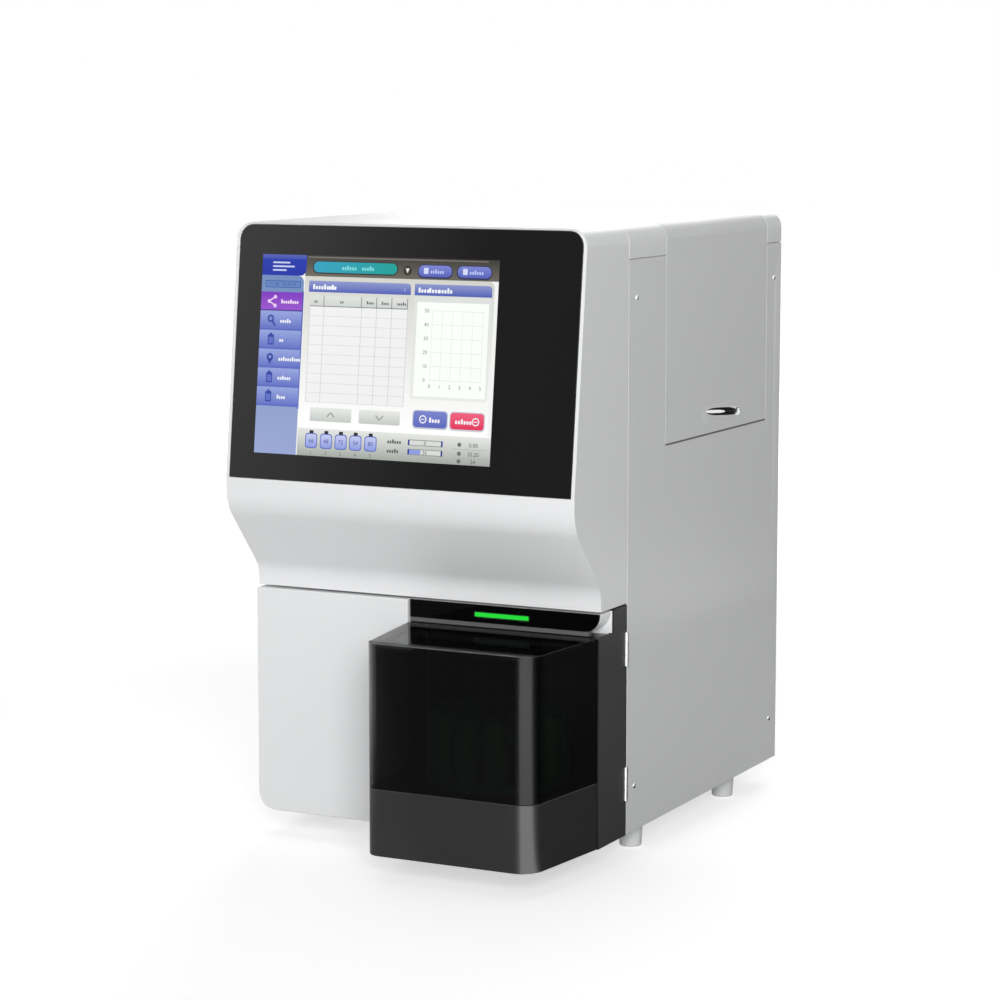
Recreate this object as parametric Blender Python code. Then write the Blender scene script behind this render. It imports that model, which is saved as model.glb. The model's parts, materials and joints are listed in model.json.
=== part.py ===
"""Bench-top glycated hemoglobin analyzer, in metres, +Z up.

The origin is on the floor under the middle of the object. The front faces -Y. Heights are measured
from the floor, and depths from the seam between the front housing and the side panels.
"""

import math

import bmesh
import bpy
from mathutils import Matrix, Vector

# Cabinet
FOOT_HEIGHT = 0.020
BODY_WIDTH = 0.3096
BODY_HEIGHT = 0.4862
SIDE_DEPTH = 0.3246
SHEET = 0.0015
EDGE_RADIUS = 0.0142
COVER_DROP = 0.0266
SEAM = 0.0006
FIT = 0.0003
OVERRUN = 0.004
JOGGLE_RISE = 0.009

# Chassis
TRAY_SHEET = 0.002
TRAY_FLANGE = 0.014
TRAY_SETBACK = 0.002
TONGUE_REACH = 0.046
POST_THICKNESS = 0.004
POST_WIDTH = 0.014
POST_SETBACK = 0.004
POST_TOP_DROP = 0.040
RAIL_HEIGHT = 0.004

# Side screws
SCREW_FRONT = 0.0151
SCREW_REAR = 0.0168
SCREW_LOW = 0.0373
SCREW_HIGH_DROP = 0.0571
SCREW_HEAD_RADIUS = 0.0024
SCREW_HEAD = 0.0009
SCREW_RADIUS = 0.0015
SCREW_LENGTH = 0.008

# Front housing
CHIN_HEIGHT = 0.1881
CHIN_REACH = 0.0498
CHIN_FLAT = 0.006
CHIN_RADIUS = 0.024
NOSE_REACH = 0.0991
NOSE_RADIUS = 0.035
NOSE_DROP = 0.0095
HOUSING_WALL = 0.0035
HOUSING_RIM_RADIUS = 0.003
GLASS_LOW = 0.2827
GLASS_TILT = math.radians(6.46)

# Touch screen
GLASS_SIDE_GAP = 0.0032
GLASS_TOP_DROP = 0.0019
GLASS_THICKNESS = 0.002
GLASS_RADIUS = 0.012
DISPLAY_WIDTH = 0.2230
DISPLAY_SIDE_GAP = 0.0161
DISPLAY_LOW = 0.015
DISPLAY_TOP_GAP = 0.0179
DISPLAY_THICKNESS = 0.010
DISPLAY_BOARD = 0.012
DISPLAY_BOARD_INSET = 0.030

# Lower front panel
PANEL_REACH = 0.0535
PANEL_WALL = 0.003
PANEL_RADIUS = 0.015
CHIN_GAP = 0.0020

# Sampler fascia and status light
FASCIA_REACH = 0.0285
FASCIA_SHEET = 0.0014
FASCIA_HEIGHT = 0.0225
FASCIA_SIDE_INSET = 0.0006
POD_REACH = 0.0483
POD_HEIGHT = 0.0142
POD_RADIUS = 0.013
POD_SIDE_INSET = 0.0012
LIGHT_FACE = 0.0012
LIGHT_LENGTH = 0.0495
LIGHT_WIDTH = 0.0049
LIGHT_SIDE = 0.0864
LIGHT_DROP = 0.0078
LIGHT_DEPTH = 0.005

# Sampler door
DOOR_WIDTH = 0.1688
DOOR_REACH = 0.149
DOOR_HEIGHT = 0.1677
DOOR_WALL = 0.003
DOOR_FRAME_WALL = 0.003
DOOR_LEFT_DRAFT = 0.0122
DOOR_RIGHT_DRAFT = 0.0085
DOOR_SIDE_STEP = 0.0009
DOOR_LEFT_RADIUS = 0.012
DOOR_RIGHT_RADIUS = 0.018
DOOR_BASE_HEIGHT = 0.0538
DOOR_FRAME_RISE = 0.0190
DOOR_RAIL_HEIGHT = 0.003
DOOR_RAIL_DEPTH = 0.008
DOOR_EDGE_GAP = 0.0006

# Sampler door hinges
HINGE_LENGTH = 0.027
HINGE_LOW = 0.0422
HINGE_HIGH = 0.1515
HINGE_RADIUS = 0.00175
HINGE_PIN_RADIUS = 0.0008
HINGE_PROUD = 0.0003
HINGE_LEAF = 0.0012
HINGE_LEAF_WIDTH = 0.011

# Sampler bay and platform
BAY_LEFT_GAP = 0.004
BAY_SIDE_GAP = 0.0083
BAY_FRONT = 0.0268
BAY_REAR = 0.033
BAY_HEIGHT = 0.1637
BAY_WALL = 0.0015
PLATFORM_RADIUS = 0.060
PLATFORM_TOP = 0.046
PLATFORM_UNDERSIDE = 0.0034
MOTOR_WIDTH = 0.042
MOTOR_HEIGHT = 0.030
MOTOR_CORNER = 0.004
MOTOR_SHAFT_RADIUS = 0.0025
MOTOR_SHAFT_RISE = 0.012
MOTOR_POCKET_GAP = 0.0005

# Carousel
CAROUSEL_SIDE = 0.0828
CAROUSEL_REACH = 0.062
CAROUSEL_RADIUS = 0.0575
CAROUSEL_PLATE = 0.003
CAROUSEL_GAP = 0.0006
SPINDLE_RADIUS = 0.008
KNOB_RADIUS = 0.012
KNOB_HEIGHT = 0.012
KNOB_TOP = 0.130
HOLDER_COUNT = 12
HOLDER_CIRCLE = 0.047
HOLDER_RADIUS = 0.0095
HOLDER_BORE = 0.0069
HOLDER_HEIGHT = 0.057
HOLDER_FLOOR = 0.005
HOLDER_RING_WIDTH = 0.019
HOLDER_BAND = 0.006
HOLDER_BAND_DROP = 0.012

# Sampler arm
ARM_POST_SIDE = 0.0278
ARM_POST_DEPTH = 0.014
COLUMN_RADIUS = 0.009
COLUMN_HEIGHT = 0.106
COLUMN_FLANGE_RADIUS = 0.013
COLUMN_FLANGE = 0.004
SHAFT_RADIUS = 0.005
SHAFT_LENGTH = 0.098
ARM_UNDERSIDE = 0.149
ARM_THICKNESS = 0.009
ARM_HUB_RADIUS = 0.011
ARM_TIP_RADIUS = 0.007
ARM_SWING = math.radians(50)
NEEDLE_RADIUS = 0.0008
NEEDLE_REACH = 0.038
NEEDLE_POINT = 0.004
NEEDLE_COLLAR_RADIUS = 0.0026
NEEDLE_COLLAR = 0.0028
WASH_RADIUS = 0.008
WASH_BORE = 0.004
WASH_HEIGHT = 0.100
WASH_DEPTH = 0.035

# Side flap
FLAP_FRONT = 0.0727
FLAP_REAR_GAP = 0.0334
FLAP_DROP = 0.1795
FLAP_TOP_WIDTH = 0.080
FLAP_LEDGE = 0.006
FLAP_HINGE_RADIUS = 0.0022
FLAP_PIN_RADIUS = 0.0012
FLAP_HINGE_GAP = 0.0004
FLAP_SINK = 0.0001
FLAP_LEAF = 0.0012
FLAP_LEAF_WIDTH = 0.014
FLAP_KNUCKLES = 5
PULL_LENGTH = 0.082
PULL_HEIGHT = 0.015
PULL_DEPTH = 0.012
PULL_WALL = 0.001
PULL_RIM = 0.0006
PULL_REAR_GAP = 0.1012
PULL_RISE = 0.0155

# Rear
REAR_REACH = 0.012
FAN_SIZE = 0.080
FAN_DEPTH = 0.025
FAN_BORE = 0.038
FAN_SIDE = 0.0748
FAN_DROP = 0.1062
FAN_HUB = 0.018
FAN_BLADES = 7
FAN_BLADE_THICKNESS = 0.0015
FAN_BLADE_GAP = 0.0025
FAN_SPOKE = 0.004
FAN_CORNER = 0.005
FAN_PIN = 0.003
SLOT_COUNT = 9
SLOT_WIDTH = 0.004
VENT_LENGTH = 0.060
VENT_SIDE = 0.0948
VENT_DROP = 0.0662
VENT_COUNT = 6
VENT_PITCH = 0.008
INLET_SIDE = 0.0498
INLET_HEIGHT = 0.052
INLET_WIDTH = 0.048
INLET_TALL = 0.030
INLET_BODY_WIDTH = 0.028
INLET_BODY_TALL = 0.022
INLET_DEPTH = 0.024
INLET_FLANGE = 0.0025
INLET_RECESS_WIDTH = 0.024
INLET_RECESS_TALL = 0.0165
INLET_RECESS_DEPTH = 0.016
INLET_BEVEL = 0.004
INLET_PIN_WIDTH = 0.002
INLET_PIN_TALL = 0.004
INLET_PIN_LENGTH = 0.014
INLET_PIN_PITCH = 0.007
SWITCH_SIDE = 0.0968
SWITCH_WIDTH = 0.021
SWITCH_TALL = 0.030
SWITCH_BODY_WIDTH = 0.017
SWITCH_BODY_TALL = 0.026
SWITCH_DEPTH = 0.018
SWITCH_FLANGE = 0.002
SWITCH_WALL = 0.0018
SWITCH_AXIS_DEPTH = 0.004
ROCKER_RADIUS = 0.0105
ROCKER_TIP = math.radians(8)
ROCKER_GAP = 0.0006
PORTS_SIDE = 0.0548
PORTS_HEIGHT = 0.110
PORTS_WIDTH = 0.050
PORTS_TALL = 0.024
PORTS_DEPTH = 0.018
PORTS_FLANGE = 0.0015
PORT_WIDTH = 0.0145
PORT_TALL = 0.0085
PORT_PITCH = 0.022
PORT_DEPTH = 0.013
FLUID_SIDE = 0.0548
FLUID_HEIGHT = 0.070
FLUID_WIDTH = 0.070
FLUID_TALL = 0.024
FLUID_PLATE = 0.002
FLUID_RADIUS = 0.004
FLUID_BARB = 0.005
FLUID_BORE = 0.0015
FLUID_COUNT = 4
FLUID_PITCH = 0.016

# Inner deck and what stands on it
DECK_DROP = 0.2102
DECK_SHEET = 0.002
DECK_FRONT = 0.034
DECK_REAR_GAP = 0.0065
DIVIDER_SIDE = 0.1248
DIVIDER_TOP_DROP = 0.0302
DIVIDER_FRONT = 0.060
DIVIDER_REAR_GAP = 0.0346
OVEN_DEPTH = 0.040
OVEN_TALL = 0.044
OVEN_FRONT = 0.110
OVEN_REAR_GAP = 0.030
OVEN_DROP = 0.1012
OVEN_BEVEL = 0.004
COLUMN_TUBE_RADIUS = 0.006
COLUMN_NUT_RADIUS = 0.0085
COLUMN_NUT = 0.014
COLUMN_END_GAP = 0.010
VALVE_RADIUS = 0.018
VALVE_DEPTH = 0.034
VALVE_NOSE_RADIUS = 0.011
VALVE_NOSE = 0.012
VALVE_FRONT = 0.092
VALVE_DROP = 0.1412
DETECTOR_WIDTH = 0.070
DETECTOR_TALL = 0.045
DETECTOR_SIDE_GAP = 0.008
DETECTOR_FRONT_GAP = 0.038
DETECTOR_REAR_GAP = 0.010
DETECTOR_BEVEL = 0.003
SYRINGE_RADIUS = 0.007
SYRINGE_BORE = 0.0052
SYRINGE_LENGTH = 0.050
SYRINGE_DROP = 0.1742
SYRINGE_FRONT = 0.150
SYRINGE_BLOCK = 0.012
SYRINGE_OFFSET = 0.012
SYRINGE_PORT_RADIUS = 0.002
PLUNGER_RADIUS = 0.0022
PLUNGER_HEAD = 0.006
PLUNGER_HEAD_DROP = 0.028
PLUNGER_TAIL = 0.029
PLUNGER_CAP_RADIUS = 0.005
PLUNGER_CAP = 0.003

# Power supply and pump on the tray
SUPPLY_SIDE = 0.0148
SUPPLY_WIDTH = 0.085
SUPPLY_LENGTH = 0.150
SUPPLY_TALL = 0.050
SUPPLY_REAR_GAP = 0.030
SUPPLY_BEVEL = 0.002
PUMP_SIDE_GAP = 0.010
PUMP_WIDTH = 0.070
PUMP_LENGTH = 0.110
PUMP_TALL = 0.100
PUMP_REAR_GAP = 0.060
PUMP_BEVEL = 0.004
PUMP_HEAD_RADIUS = 0.014
PUMP_HEAD_LENGTH = 0.028
PUMP_HEAD_PITCH = 0.034
PUMP_HEAD_HEIGHT = 0.0667

# Feet
FOOT_RADIUS = 0.0100
FOOT_TAPER = 0.0006
FOOT_ROUND = 0.0015
FOOT_SIDE = 0.0162
FOOT_FRONT = 0.0449
FOOT_REAR = 0.0841

# Facets of round shapes
SIDES_SMALL = 12
SIDES = 24
SIDES_LARGE = 40
ARC_STEPS = 6
SMOOTH_ANGLE = math.radians(35)

# Places worked out from the sizes
half = BODY_WIDTH / 2
floor = FOOT_HEIGHT
top = FOOT_HEIGHT + BODY_HEIGHT
seam = DOOR_REACH - (DOOR_REACH + SIDE_DEPTH + REAR_REACH) / 2
rear = seam + SIDE_DEPTH
cover_low = top - COVER_DROP
chin = floor + CHIN_HEIGHT
glass_low = floor + GLASS_LOW
panel_top = chin - CHIN_GAP
panel_front = seam - PANEL_REACH
panel_right = half - DOOR_WIDTH
door_front = seam - DOOR_REACH
door_top = floor + DOOR_HEIGHT
inner_half = half - SHEET - FIT
glass_half = half - GLASS_SIDE_GAP
glass_length = (BODY_HEIGHT - GLASS_LOW - GLASS_TOP_DROP) / math.cos(GLASS_TILT)
display_left = DISPLAY_SIDE_GAP - glass_half
display_right = display_left + DISPLAY_WIDTH
display_top = glass_length - DISPLAY_TOP_GAP
hinge_x = half + HINGE_PROUD
hinge_y = seam - HINGE_RADIUS - FIT
carousel = Vector((half - CAROUSEL_SIDE, seam - CAROUSEL_REACH))
post = Vector((half - ARM_POST_SIDE, seam + ARM_POST_DEPTH))
arm_heading = (carousel - post).normalized()
arm_length = (carousel - post).length - HOLDER_CIRCLE
needle = post + arm_heading * arm_length
wash = post + Matrix.Rotation(-ARM_SWING, 2) @ (arm_heading * arm_length)
platform_top = floor + PLATFORM_TOP
holder_low = platform_top + CAROUSEL_GAP + CAROUSEL_PLATE + FIT
bay_floor = floor + TRAY_SHEET + FIT + BAY_WALL
arm_low = floor + ARM_UNDERSIDE
flap_axis_x = half - FLAP_TOP_WIDTH
flap_axis_z = top - FLAP_HINGE_RADIUS - FLAP_SINK
flap_low = top - FLAP_DROP
flap_front = seam + FLAP_FRONT
flap_rear = rear - FLAP_REAR_GAP
deck_low = top - DECK_DROP
deck_top = deck_low + DECK_SHEET
divider_x = half - DIVIDER_SIDE
divider_rear = rear - DIVIDER_REAR_GAP
syringe = Vector((divider_x + FIT + SYRINGE_OFFSET, seam + SYRINGE_FRONT))
syringe_low = top - SYRINGE_DROP
tray_top = floor + TRAY_SHEET
fan_x = FAN_SIDE - half
fan_z = top - FAN_DROP
vent_x = half - VENT_SIDE
inlet_x = half - INLET_SIDE
switch_x = half - SWITCH_SIDE
ports_x = half - PORTS_SIDE
fluid_x = FLUID_SIDE - half
foot_x = half - FOOT_SIDE
screw_heights = (floor + SCREW_LOW, top - SCREW_HIGH_DROP)
screw_depths = (seam + SCREW_FRONT, rear - SCREW_REAR)


def clear_scene():
    """Remove whatever the scene holds."""
    for item in list(bpy.data.objects):
        bpy.data.objects.remove(item)


def solid_from(shape, name="solid"):
    """Turn a bmesh into an object with its faces pointing out."""
    bmesh.ops.recalc_face_normals(shape, faces=shape.faces)
    mesh = bpy.data.meshes.new(name)
    shape.to_mesh(mesh)
    shape.free()
    item = bpy.data.objects.new(name, mesh)
    bpy.context.scene.collection.objects.link(item)
    return item


def place(axis, u, v, w):
    """A point that lies w along an axis, and at u, v across it."""
    return {"X": (w, u, v), "Y": (u, w, v), "Z": (u, v, w)}[axis]


def lofted(outlines, heights, axis):
    """A closed skin through outlines with as many points each, at their heights along an axis."""
    shape = bmesh.new()
    rings = []
    for outline, height in zip(outlines, heights):
        rings.append([shape.verts.new(place(axis, u, v, height)) for u, v in outline])
    shape.faces.new(rings[0])
    shape.faces.new(rings[-1])
    for near, far in zip(rings, rings[1:]):
        for i in range(len(near)):
            shape.faces.new((near[i - 1], near[i], far[i], far[i - 1]))
    return solid_from(shape)


def prism(outline, low, high, axis):
    """Carry a closed outline along X, Y or Z from low to high."""
    return lofted([outline, outline], [low, high], axis)


def box(x, y, z):
    """A block between three pairs of limits."""
    return prism([(x[0], y[0]), (x[1], y[0]), (x[1], y[1]), (x[0], y[1])], *z, "Z")


def arc(centre, radius, start, end, steps=ARC_STEPS):
    """Points on an arc about a centre, both ends included."""
    turns = [start + (end - start) * i / steps for i in range(steps + 1)]
    return [(centre[0] + radius * math.cos(t), centre[1] + radius * math.sin(t)) for t in turns]


def circle(centre, radius, sides=SIDES):
    """Points of a full circle."""
    turns = [2 * math.pi * i / sides for i in range(sides)]
    return [(centre[0] + radius * math.cos(t), centre[1] + radius * math.sin(t)) for t in turns]


def rounded(u, v, radii):
    """A rectangle whose corners have their own radii, from lower left round to upper left."""
    corners = ((u[0], v[0], 1, 1), (u[1], v[0], -1, 1), (u[1], v[1], -1, -1), (u[0], v[1], 1, -1))
    outline = []
    for i, ((cu, cv, du, dv), radius) in enumerate(zip(corners, radii)):
        if radius:
            start = math.pi + i * math.pi / 2
            outline += arc((cu + du * radius, cv + dv * radius), radius, start, start + math.pi / 2)
        else:
            outline.append((cu, cv))
    return outline


def stadium(centre, length, width):
    """A slot outline with round ends, its length along the first direction."""
    reach = (length - width) / 2
    right = arc((centre[0] + reach, centre[1]), width / 2, -math.pi / 2, math.pi / 2)
    left = arc((centre[0] - reach, centre[1]), width / 2, math.pi / 2, 3 * math.pi / 2)
    return right + left


def turned(centre, radii, heights, axis="Z", sides=SIDES):
    """Turn a profile, given as radii at heights along an axis."""
    return lofted([circle(centre, radius, sides) for radius in radii], heights, axis)


def rod(centre, radius, low, high, axis, sides=SIDES):
    """A round bar along an axis."""
    return turned(centre, (radius, radius), (low, high), axis, sides)


def combine(solid, tool, operation):
    """Apply a Boolean to a solid and take the tool away."""
    step = solid.modifiers.new(operation, "BOOLEAN")
    step.operation = operation
    step.object = tool
    step.solver = "EXACT"
    graph = bpy.context.evaluated_depsgraph_get()
    mesh = bpy.data.meshes.new_from_object(solid.evaluated_get(graph))
    solid.modifiers.clear()
    solid.data = mesh
    bpy.data.objects.remove(tool)
    return solid


def join(solid, *tools):
    """Unite solids into one body."""
    for tool in tools:
        combine(solid, tool, "UNION")
    return solid


def cut(solid, *tools):
    """Take solids away from a body."""
    for tool in tools:
        combine(solid, tool, "DIFFERENCE")
    return solid


def bundle(solids):
    """Gather solids that don't touch into one tool with a body for each."""
    shape = bmesh.new()
    for solid in solids:
        shape.from_mesh(solid.data)
        bpy.data.objects.remove(solid)
    return solid_from(shape)


def moved(solid, matrix):
    """Place a solid's mesh by a matrix."""
    solid.data.transform(matrix)
    return solid


def beveled(solid, width):
    """Break every edge of a block with a small bevel."""
    shape = bmesh.new()
    shape.from_mesh(solid.data)
    bmesh.ops.bevel(shape, geom=shape.edges, offset=width, segments=1, affect="EDGES", clamp_overlap=True)
    shape.to_mesh(solid.data)
    shape.free()
    return solid


FINISHES = {
    "white_abs": ((0.86, 0.87, 0.88), 0.35, 0.0),
    "grey_paint": ((0.72, 0.73, 0.74), 0.45, 0.0),
    "black_matte": ((0.035, 0.035, 0.037), 0.5, 0.0),
    "black_gloss": ((0.008, 0.008, 0.010), 0.08, 0.0),
    "smoked_acrylic": ((0.015, 0.016, 0.018), 0.06, 0.0),
    "green_light": ((0.02, 0.75, 0.10), 0.3, 0.0),
    "green_plastic": ((0.05, 0.45, 0.16), 0.45, 0.0),
    "zinc_steel": ((0.62, 0.63, 0.64), 0.35, 1.0),
    "stainless": ((0.70, 0.70, 0.70), 0.22, 1.0),
    "aluminium": ((0.75, 0.76, 0.77), 0.35, 1.0),
    "grey_rubber": ((0.55, 0.55, 0.56), 0.7, 0.0),
    "grey_plastic": ((0.30, 0.31, 0.32), 0.5, 0.0),
    "glass": ((0.80, 0.85, 0.88), 0.05, 0.0),
}


def piece(name, solid, finish, pivot=None):
    """Name a solid, give it its own material, and hang it on a pivot if it moves."""
    colour, roughness, metallic = FINISHES[finish]
    material = bpy.data.materials.new(name + "_" + finish)
    material.use_nodes = True
    surface = material.node_tree.nodes["Principled BSDF"]
    surface.inputs["Base Color"].default_value = (*colour, 1.0)
    surface.inputs["Roughness"].default_value = roughness
    surface.inputs["Metallic"].default_value = metallic
    solid.name = name
    solid.data.name = name
    solid.data.materials.clear()
    solid.data.materials.append(material)
    solid.data.shade_smooth()
    solid.data.set_sharp_from_angle(angle=SMOOTH_ANGLE)
    if pivot:
        solid.parent = pivot
        solid.matrix_parent_inverse = Matrix.Translation(-pivot.location)
    return solid


def pivot_at(name, x, y, z):
    """An empty on a joint's axis, which carries the pieces that move about it."""
    pivot = bpy.data.objects.new(name, None)
    pivot.location = (x, y, z)
    bpy.context.scene.collection.objects.link(pivot)
    return pivot


def cover_outline(inset):
    """The cabinet's cross-section from the floor up, round at both top edges."""
    radius = EDGE_RADIUS - inset
    side = half - inset
    return rounded((-side, side), (floor - OVERRUN, top - inset), (0, 0, radius, radius))


def housing_profile(inset):
    """The front housing from the side: chin, S-curve, nose and tilted face, moved inwards by inset."""
    chin_y = seam - CHIN_REACH + inset
    nose_y = seam - NOSE_REACH + inset
    chin_z = chin + CHIN_FLAT
    nose_z = glass_low - NOSE_DROP
    hollow = (chin_y - CHIN_RADIUS - inset, chin_z)
    swell = (nose_y + NOSE_RADIUS - inset, nose_z)
    across = math.hypot(swell[0] - hollow[0], swell[1] - hollow[1])
    heading = math.atan2(swell[1] - hollow[1], swell[0] - hollow[0])
    slope = heading - math.acos((CHIN_RADIUS + NOSE_RADIUS) / across)
    face_low = nose_y - inset + inset / math.cos(GLASS_TILT)
    face_top = face_low + (top - glass_low) * math.tan(GLASS_TILT)
    outline = [(seam - SEAM + inset, chin + inset), (chin_y, chin + inset)]
    outline += arc(hollow, CHIN_RADIUS + inset, 0, slope)
    outline += arc(swell, NOSE_RADIUS - inset, math.pi + slope, math.pi)
    outline.append((face_low, glass_low))
    rim = HOUSING_RIM_RADIUS
    outline.append((face_top - rim * math.tan(GLASS_TILT), top - rim))
    outline.append((face_top + rim, top - inset))
    outline.append((seam - SEAM + inset, top - inset))
    return outline


def on_face(solid):
    """Lay a solid drawn upright at the origin on the housing's tilted face."""
    place = Matrix.Translation((0, seam - NOSE_REACH, glass_low)) @ Matrix.Rotation(-GLASS_TILT, 4, "X")
    return moved(solid, place)


def door_outline(inset, back):
    """The door's plan: side walls that draw in towards a front with two round corners."""
    left_back = panel_right + FIT + inset
    left_front = left_back + DOOR_LEFT_DRAFT
    right_back = half - DOOR_SIDE_STEP - inset
    right_front = right_back - DOOR_RIGHT_DRAFT
    front = door_front + inset
    left_slant = math.atan2(DOOR_LEFT_DRAFT, DOOR_REACH - PANEL_REACH)
    right_slant = math.atan2(DOOR_RIGHT_DRAFT, DOOR_REACH - PANEL_REACH)
    left_radius = DOOR_LEFT_RADIUS - inset
    right_radius = DOOR_RIGHT_RADIUS - inset
    outline = [(left_back, back)]
    if back > panel_front:
        outline.append((left_back, panel_front))
    left_centre = (left_front + left_radius * math.cos(left_slant), front + left_radius)
    right_centre = (right_front - right_radius * math.cos(right_slant), front + right_radius)
    outline += arc(left_centre, left_radius, math.pi - left_slant, 3 * math.pi / 2)
    outline += arc(right_centre, right_radius, -math.pi / 2, right_slant)
    if back > panel_front:
        outline.append((right_back, panel_front))
    outline.append((right_back, back))
    return outline


def flap_window(gap):
    """The opening of the side flap in the cabinet's skin, grown by a gap on each side."""
    across = (flap_axis_x - FLAP_HINGE_RADIUS - FLAP_HINGE_GAP, half + OVERRUN)
    along = (flap_front - gap, flap_rear + gap)
    return box(across, along, (flap_low - gap, top + OVERRUN))


def make_chassis():
    """Tray with flanges, a tongue behind the front panel, four posts and three rails."""
    back = rear - SHEET - FIT
    solid = box((-inner_half, inner_half), (seam + TRAY_SETBACK, back), (floor, tray_top))
    flange_top = floor + TRAY_FLANGE
    for side in (-1, 1):
        span = sorted((side * inner_half, side * (inner_half - TRAY_SHEET)))
        join(solid, box(span, (seam + TRAY_SETBACK, back), (floor, flange_top)))
        outer = half - POST_SETBACK
        span = sorted((side * outer, side * (outer - POST_THICKNESS)))
        for y in screw_depths:
            upright = (floor, top - POST_TOP_DROP)
            join(solid, box(span, (y - POST_WIDTH / 2, y + POST_WIDTH / 2), upright))
    rails = (top - POST_TOP_DROP - RAIL_HEIGHT, top - POST_TOP_DROP)
    reach = half - POST_SETBACK - POST_THICKNESS / 2
    for y in screw_depths:
        join(solid, box((-reach, reach), (y - POST_WIDTH / 4, y + POST_WIDTH / 4), rails))
    join(solid, box((-reach - POST_THICKNESS / 4, POST_THICKNESS - reach), screw_depths, rails))
    left = (-half + PANEL_RADIUS + PANEL_WALL, panel_right - 2 * PANEL_WALL)
    tongue_low = floor + PANEL_WALL + FIT
    tongue = (tongue_low, tongue_low + TRAY_SHEET)
    join(solid, box(left, (seam - TONGUE_REACH, seam + TRAY_SETBACK + TRAY_SHEET), tongue))
    join(solid, box(left, (seam + TRAY_SETBACK, seam + TRAY_SETBACK + TRAY_SHEET), (floor, flange_top)))
    for y in screw_depths:
        for z in screw_heights:
            hole = rod((y, z), SCREW_RADIUS + FIT, -half - OVERRUN, half + OVERRUN, "X", SIDES_SMALL)
            cut(solid, hole)
    piece("chassis_frame", solid, "zinc_steel")


def make_side_panel(name, side):
    """Sheet side with an inner step that the top cover laps over, and screw holes."""
    def across(a, b):
        return sorted((side * a, side * b))

    inner = inner_half - SHEET
    solid = box(across(half, half - SHEET), (seam, rear), (floor, cover_low - SEAM))
    step_low = cover_low - SEAM - JOGGLE_RISE
    step_y = (seam, rear - SHEET - FIT)
    join(
        solid,
        box(across(inner, half - SHEET + FIT), step_y, (step_low, cover_low - 2 * SEAM)),
        box(across(inner, inner_half), step_y, (step_low, cover_low + JOGGLE_RISE)),
    )
    if side > 0:
        cut(solid, flap_window(FIT))
        along = (flap_front - JOGGLE_RISE, flap_rear + JOGGLE_RISE)
        join(
            solid,
            box(across(inner, half - SHEET + FIT), along, (flap_low - JOGGLE_RISE, flap_low - SEAM)),
            box(across(inner, inner_half), along, (flap_low - JOGGLE_RISE, flap_low + FLAP_LEDGE)),
        )
    for y in screw_depths:
        for z in screw_heights:
            hole = rod((y, z), SCREW_RADIUS + FIT, -half - OVERRUN, half + OVERRUN, "X", SIDES_SMALL)
            cut(solid, hole)
    piece(name, solid, "grey_paint")


def make_side_screws():
    """Pan-head screws that hold the side panels to the posts."""
    for side, word in ((-1, "left"), (1, "right")):
        spots = [(y, z) for y in screw_depths for z in screw_heights]
        for place, (y, z) in zip(("front_low", "front_high", "rear_low", "rear_high"), spots):
            head = sorted((side * (half + FIT), side * (half + FIT + SCREW_HEAD)))
            shank = sorted((side * (half + 2 * FIT), side * (half - SCREW_LENGTH)))
            solid = rod((y, z), SCREW_HEAD_RADIUS, *head, "X", SIDES_SMALL)
            join(solid, rod((y, z), SCREW_RADIUS, *shank, "X", SIDES_SMALL))
            piece(f"side_screw_{word}_{place}", solid, "stainless")


def make_top_cover():
    """Sheet that wraps over the top and down both sides, open where the side flap lies."""
    low = box((-half - OVERRUN, half + OVERRUN), (seam - OVERRUN, rear + OVERRUN), (0, cover_low))
    solid = prism(cover_outline(0), seam, rear, "Y")
    cut(solid, prism(cover_outline(SHEET), seam - OVERRUN, rear + OVERRUN, "Y"), low, flap_window(FIT))
    piece("top_cover", solid, "white_abs")


def make_rear_panel():
    """Rear sheet with the fan grille, vents and the openings of the rear fittings."""
    side = inner_half
    radius = EDGE_RADIUS - SHEET - FIT
    outline = rounded((-side, side), (floor, top - SHEET - FIT), (0, 0, radius, radius))
    solid = prism(outline, rear - SHEET, rear, "Y")
    through = (rear - SHEET - OVERRUN, rear + OVERRUN)
    pitch = 2 * FAN_BORE / SLOT_COUNT
    tools = []
    for i in range(SLOT_COUNT):
        rise = (i - (SLOT_COUNT - 1) / 2) * pitch
        length = 2 * math.sqrt(FAN_BORE**2 - rise**2) - SLOT_WIDTH
        slot = stadium((fan_x, fan_z + rise), length, SLOT_WIDTH)
        tools.append(prism(slot, *through, "Y"))
    for i in range(VENT_COUNT):
        slot = stadium((vent_x, top - VENT_DROP - i * VENT_PITCH), VENT_LENGTH, SLOT_WIDTH)
        tools.append(prism(slot, *through, "Y"))
    for x, z, width, tall in (
        (inlet_x, INLET_HEIGHT, INLET_BODY_WIDTH, INLET_BODY_TALL),
        (switch_x, INLET_HEIGHT, SWITCH_BODY_WIDTH, SWITCH_BODY_TALL),
        (ports_x, PORTS_HEIGHT, PORTS_WIDTH - PORT_PITCH / 2, PORTS_TALL - PORT_TALL),
    ):
        across = (x - width / 2 - FIT, x + width / 2 + FIT)
        upright = (floor + z - tall / 2 - FIT, floor + z + tall / 2 + FIT)
        tools.append(box(across, through, upright))
    piece("rear_panel", cut(solid, bundle(tools)), "grey_paint")


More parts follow.
